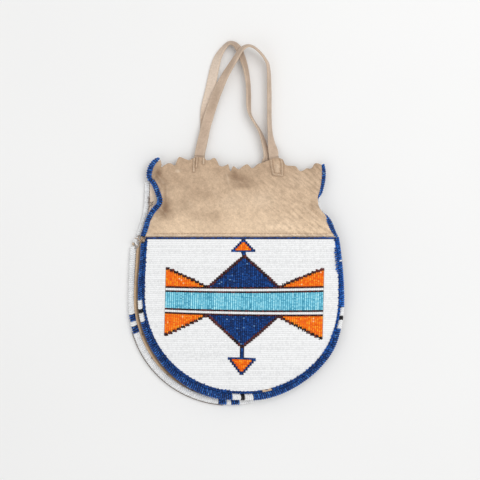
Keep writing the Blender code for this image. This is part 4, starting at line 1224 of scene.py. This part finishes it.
seam_line = [(x, FOLD_Y + 3.2 - 0.5 * (x / 90) ** 2) for x in steps(-84.0, 82.0, 1.0)]
seam_threads = [set_along(over_neck(seam_line), 2.9)]
seam_stitches = string_beads("neck_seam_stitches", seam_threads, sinew_thread, 0.5, 2.3, 170, 0.18, 0.12)
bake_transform(seam_stitches)
tab_threads = []
for mark in (tab_marks[1], tab_marks[3]):
    fine = []
    for a, b in zip(mark, mark[1:]):
        fine += [tuple(Vector(a).lerp(b, t)) for t in steps(0.0, 1.0, 0.8 / math.dist(a, b))]
    tab_threads.append(set_along(over_neck(fine, 0.05), 1.9))
tab_stitches = string_beads("handle_tab_stitches", tab_threads, sinew_thread, 0.42, 1.35, 171, 0.2, 0.14)
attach(tab_stitches, "mouth_flap")


# The loosened seam at the left of the mouth, where the edging has come away: torn tags of hide, a few
# wraps of white beads hanging by their thread, and ends of sinew. A dark sinew binding along the
# back's edge below it stands in for the hide's edge and the painted shadow under the edging.

# Each torn tag's place on the grid, its reach and its height. Then each fallen wrap's two ends there.
TAGS = [(141.8, 238.3, 1.7, 8.2), (143.8, 240.6, 1.6, 9.0), (140.2, 240.8, 1.3, 7.4),
        (138.0, 238.4, 1.2, 5.2), (133.0, 244.1, 1.7, 1.2), (137.0, 245.6, 1.1, 4.6)]
FALLEN = [
    ((132.8, 240.6), (135.6, 242.2), 4.6), ((133.8, 239.4), (136.8, 241.2), 4.8),
    ((135.0, 242.6), (137.2, 245.2), 4.4), ((136.2, 237.4), (139.4, 238.8), 5.0),
    ((339.0, 261.0), (341.6, 260.5), 11.7)]
chance = random.Random(77)
torn = None
for k, (across, down, size, z) in enumerate(TAGS):
    cx, cy = placed(across, down)
    outline = []
    for corner in range(9):
        reach = size * chance.uniform(0.55, 1.15)
        turn = math.tau * corner / 9
        outline.append((cx + reach * math.cos(turn), cy + reach * math.sin(turn)))
    tag = cut_hide(f"torn_tag_{k}", outline, lambda x, y: z + 0.5 * noise.noise((x * 0.9, y * 0.9, k)),
                   0.8, 0.8, buckskin, 0.6)
    if torn:
        join_to(torn, tag)
    else:
        torn = tag
torn.name = "torn_seam_tags"
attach(torn, "bag")
loose = [[(*placed(*start), z), (*placed(*end), z + 0.4)] for start, end, z in FALLEN]
loose = [set_along(line, BEAD_LONG) for line in loose]
fallen = string_beads("fallen_wraps", loose, white_glass, 1.7, seed=172, tilt=0.2)
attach(fallen, "bag")
ends = []
for k in range(11):
    x, y = placed(*TAGS[k % 4][:2])
    turn = chance.uniform(0, math.tau)
    run = []
    for step in range(7):
        run.append((x, y, 9.4 - 3.0 * (k % 2) + 0.5 * math.sin(step * 1.3 + k)))
        turn += chance.uniform(-0.8, 0.8)
        x, y = x + 0.62 * math.cos(turn), y + 0.62 * math.sin(turn)
    ends.append(set_along(run, 0.5))
sinew_ends = string_beads("sinew_ends", ends, sinew_thread, 0.42, 0.75, 173, tilt=0.05)
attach(sinew_ends, "bag")
dark_sinew = thread_finish("dark_sinew", (0.14, 0.105, 0.085), (0.30, 0.225, 0.185), 0.7, 500.0)
# painted shadow: a dark thread along the back's edge for the hide's edge and the shadow under the edging
edge_shadow_binding = on_back([edge_point(s, -0.55) for s in steps(-125.0, -8.0, 1.0)])
dark_sinew_runs = [set_along([(x, y, 0.7) for x, y in edge_shadow_binding], 1.25)]
FRAYED = [
    [(147.9, 196.4), (148.7, 199.5), (148.3, 202.6), (149.1, 206.0), (148.6, 209.2)],
    [(148.8, 201.6), (151.3, 203.3), (153.2, 201.5)], [(149.8, 206.0), (152.6, 204.0)],
    [(141.4, 333.6), (142.2, 335.4)], [(151.2, 357.8), (152.2, 359.3)], [(166.2, 374.2), (168.0, 375.4)],
    [(135.4, 246.4), (134.8, 249.0)], [(139.6, 242.0), (138.4, 244.6)], [(136.4, 236.6), (138.6, 235.4)]]
for line in FRAYED:
    dark_sinew_runs.append(set_along([(*placed(*p), 5.0 + 0.3 * k) for k, p in enumerate(line)], 0.7))
dark_sinew_piece = string_beads("soiled_sinew_ends", dark_sinew_runs, dark_sinew, 0.75, 1.1, 174, tilt=0.15)
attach(dark_sinew_piece, "bag")


# The handles: two strips of commercial hide about 9 mm wide, each sewn inside the mouth at both ends.
# They have twisted in use, so each leaves the mouth flat, then turns on its edge and closes its loop
# standing. The front handle's left side lies over the back one.

FRONT_ROUTE = [
    (-40.2, 0.0, 5.7, 0), (-39.7, 4.0, 5.7, 0), (-37.4, 14.0, 5.2, 0), (-33.3, 30.7, 4.4, 0),
    (-29.1, 44.6, 4.3, 4), (-23.5, 60.0, 5.4, 22), (-15.1, 77.5, 8.2, 45), (-6.6, 91.0, 11.6, 56),
    (-0.8, 100.2, 13.4, 62), (5.0, 104.4, 13.2, 72), (10.6, 104.0, 12.0, 78), (17.3, 99.0, 10.0, 80),
    (22.8, 92.0, 8.0, 79), (25.7, 84.0, 6.6, 75), (26.5, 64.1, 5.4, 70), (26.6, 36.2, 5.2, 69),
    (27.3, 22.4, 5.2, 64), (28.6, 12.0, 5.4, 44), (30.3, 4.0, 5.7, 6), (30.6, 0.0, 5.7, 0)]
BACK_ROUTE = [
    (-39.6, 0.0, 2.3, 0), (-39.2, 4.0, 2.3, 0), (-37.0, 14.0, 1.3, 0), (-34.9, 26.0, 1.1, 0),
    (-34.2, 44.8, 1.1, 0), (-29.8, 64.1, 1.3, 5), (-25.5, 84.5, 2.6, 25), (-21.4, 96.5, 3.9, 48),
    (-13.8, 106.6, 4.8, 68), (-9.4, 108.0, 4.8, 66), (-4.9, 105.6, 4.6, 58), (-1.9, 101.0, 4.3, 50),
    (-0.6, 97.0, 4.3, 50), (1.5, 92.0, 4.6, 54), (4.3, 82.2, 4.8, 62), (6.1, 71.1, 4.9, 66),
    (6.8, 60.0, 4.9, 66), (7.0, 47.0, 4.9, 68), (8.2, 40.0, 5.0, 78), (12.6, 32.0, 5.0, 81),
    (17.6, 23.7, 4.9, 76), (21.0, 14.0, 4.8, 67), (23.3, 5.0, 4.6, 61), (23.8, 0.0, 4.4, 58)]
STRAP_WIDE = 9.3
STRAP_THICK = 1.6
MOUTH_Y = 136.15
TAB_LONG = 13.5
# Half of the strip's section, across and through it, each way counted up to 1. The rest mirrors it.
HALF_SECTION = [
    (-1.0, 0.0), (-0.97, 0.7), (-0.85, 1.0), (-0.45, 1.0), (0.0, 1.0), (0.45, 1.0), (0.85, 1.0),
    (0.97, 0.7)]


def strip_finish():
    """The strips' hide: paler and smoother than the bag's, worn along its edges, with painted light along
    the back handle's left side and painted shade where the handles double over, cross and leave the mouth.
    """
    hide = Finish("handle_strip_hide", Roughness=0.9, Sheen_Weight=0.2, Sheen_Roughness=0.5)
    cloud = hide.spread(hide.noise(70.0, 4.0, 0.6), 0.35, 0.66)
    fleck = hide.noise(600.0, 3.0, 0.7)
    fibre = hide.noise(1900.0, 2.0, 0.7)
    tone = hide.mix(cloud, (0.60, 0.455, 0.345), (0.47, 0.350, 0.258))
    # painted light along the back handle's left side
    tone = hide.mix(hide.attribute("pale") * 0.55, tone, (0.86, 0.735, 0.62))
    tone = hide.mix(hide.spread(hide.attribute("edge"), 0.55, 1.0) * 0.35, tone, (0.74, 0.60, 0.46))
    # painted shade where the handles double over, cross and leave the mouth
    tone = hide.mix(hide.attribute("fold") * 0.6, tone, (0.20, 0.13, 0.09))
    grain = hide.ramp(fleck, (0.25, (0.84, 0.83, 0.82)), (0.75, (1.10, 1.10, 1.10)))
    tone = hide.mix(1.0, tone, grain, "MULTIPLY")
    return hide.finish(tone, 0.82 + 0.12 * fleck, fleck * 0.6 + fibre * 0.3, depth=0.0003, strength=0.55)


def painted_lit_stretch(x, y, is_back):
    """1 along the back handle's left side, painted lighter there: painted light on the face turned to the
    lamp.
    """
    return clamp((y - 168) / 20) * clamp((243 - y) / 14) if is_back and x < -14 else 0.0


def painted_fold_shade(x, y, is_back):
    """Painted shade where the back handle doubles over, beside it where the front handle crosses it, and
    where the front one leaves the mouth under the hide's edge.
    """
    if is_back:
        return 0.55 * hump(x + 8.0, 7.0) * hump(y - 243.0, 4.0) + 0.75 * hump(x, 4.0) * hump(y - 234.5, 5.5)
    up = y - MOUTH_Y
    return hump(up - 0.5, 0.6) if x < 0 else 0.8 * hump(up + 1.0, 0.8)


strip_hide = strip_finish()


def handle_strip(name, route, under_mouth, drifts):
    """A strip along its route, carried on into the mouth at both ends as the flared sewn tabs."""
    is_back = name.startswith("back")
    inner = [(x, MOUTH_Y + y, z, lean, 1.0) for x, y, z, lean in curve_through(route, 7)]
    tabs = []
    for (x, y, z, lean, _), drift in zip((inner[0], inner[-1]), drifts):
        run = []
        for down in (1.0, 3.5, 6.0, 8.5, 11.0, 12.6, TAB_LONG):
            flare = 1.0 + 0.2 * down / TAB_LONG - (0.35 if down == TAB_LONG else 0.0)
            left_over = max(0.0, 1 - down / 8)
            rise = (z - under_mouth(x, MOUTH_Y)) * left_over
            low = under_mouth(x, MOUTH_Y - down) + rise
            run.append((x + drift * down / TAB_LONG, MOUTH_Y - down, low, lean * left_over, flare))
        tabs.append(run)
    path = tabs[0][::-1] + inner + tabs[1]
    rings, edges, painted_lit, fold_shades = [], [], [], []
    for i, (x, y, z, lean, wide) in enumerate(path):
        a, b = path[max(0, i - 1)], path[min(len(path) - 1, i + 1)]
        way = Vector([q - p for p, q in zip(a[:3], b[:3])]).normalized()
        left = Vector((0, 0, 1)).cross(way).normalized()
        up = way.cross(left)
        turn = math.radians(lean)
        across = left * math.cos(turn) - up * math.sin(turn)
        face = up * math.cos(turn) + left * math.sin(turn)
        half = 0.5 * STRAP_WIDE * wide * (1 + 0.03 * noise.noise((i * 0.21, 1.0, len(route))))
        dish = 0.25 * noise.noise((i * 0.11, 6.0, len(route)))
        ring = []
        for w, t in HALF_SECTION + [(-w, -t) for w, t in HALF_SECTION]:
            thick = 0.5 * STRAP_THICK * t + dish * (1 - w * w)
            ring.append(tuple(Vector((x, y, z)) + across * (w * half) + face * thick))
            edges.append(abs(w))
            painted_lit.append(painted_lit_stretch(x, y, is_back))
            fold_shades.append(painted_fold_shade(x, y, is_back))
        rings.append(ring)
    piece = as_mesh(name, *skin(rings), finish=strip_hide)
    mark_points(piece, "edge", edges)
    mark_points(piece, "pale", painted_lit)
    mark_points(piece, "fold", fold_shades)
    turn_out(piece, 70)
    return piece


front_handle = handle_strip(
    "front_handle_strip", FRONT_ROUTE, lambda x, y: front_bulge(x, y) - 1.1, (-0.7, 2.6))
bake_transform(front_handle)
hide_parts("front_handle", "front_handle_end_left", "front_handle_end_right")
back_handle = handle_strip("back_handle_strip", BACK_ROUTE, lambda x, y: 2.3, (0.0, 0.0))
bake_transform(back_handle)
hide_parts("back_handle", "back_handle_end_left", "back_handle_end_right")


# The table and the light: a pale sheet of paper under soft daylight from the upper right, seen from
# straight above through a long lens.

bpy.ops.mesh.primitive_plane_add(size=6.0, location=(0, 0, -0.0004))
table_top = bpy.context.active_object
table_top.name = "pale_paper"
paper = Finish("pale_paper", Roughness=0.9)
grain = paper.noise(3.0, 2.0)
shade = paper.ramp(grain, (0.3, (0.865, 0.865, 0.86)), (0.7, (0.885, 0.885, 0.88)))
table_top.data.materials.append(paper.finish(shade))

world = bpy.data.worlds.new("daylight")
scene.world = world
world.use_nodes = True
world.node_tree.nodes["Background"].inputs["Color"].default_value = (1.0, 1.0, 1.0, 1.0)
world.node_tree.nodes["Background"].inputs["Strength"].default_value = 0.71
LAMPS = [("window", (0.62, 0.52, 1.25), 7.5, 0.95), ("fill", (-0.8, -0.5, 1.4), 2.8, 1.4)]
for name, place, power, size in LAMPS:
    lamp = bpy.data.objects.new(name, bpy.data.lights.new(name, "AREA"))
    lamp.data.energy = power
    lamp.data.size = size
    lamp.location = place
    lamp.rotation_euler = (Vector((0, 0.03, 0)) - Vector(place)).to_track_quat("-Z", "Y").to_euler()
    scene.collection.objects.link(lamp)

VIEW_WIDE, VIEW_FAR, FILM = 0.456, 2.0, 36.0
camera = bpy.data.objects.new("camera", bpy.data.cameras.new("camera"))
camera.data.sensor_width = FILM
camera.data.lens = FILM * VIEW_FAR / VIEW_WIDE
camera.location = (-0.0014, 0.0565, VIEW_FAR + 0.01)
scene.collection.objects.link(camera)
scene.camera = camera
scene.view_settings.view_transform = "Standard"
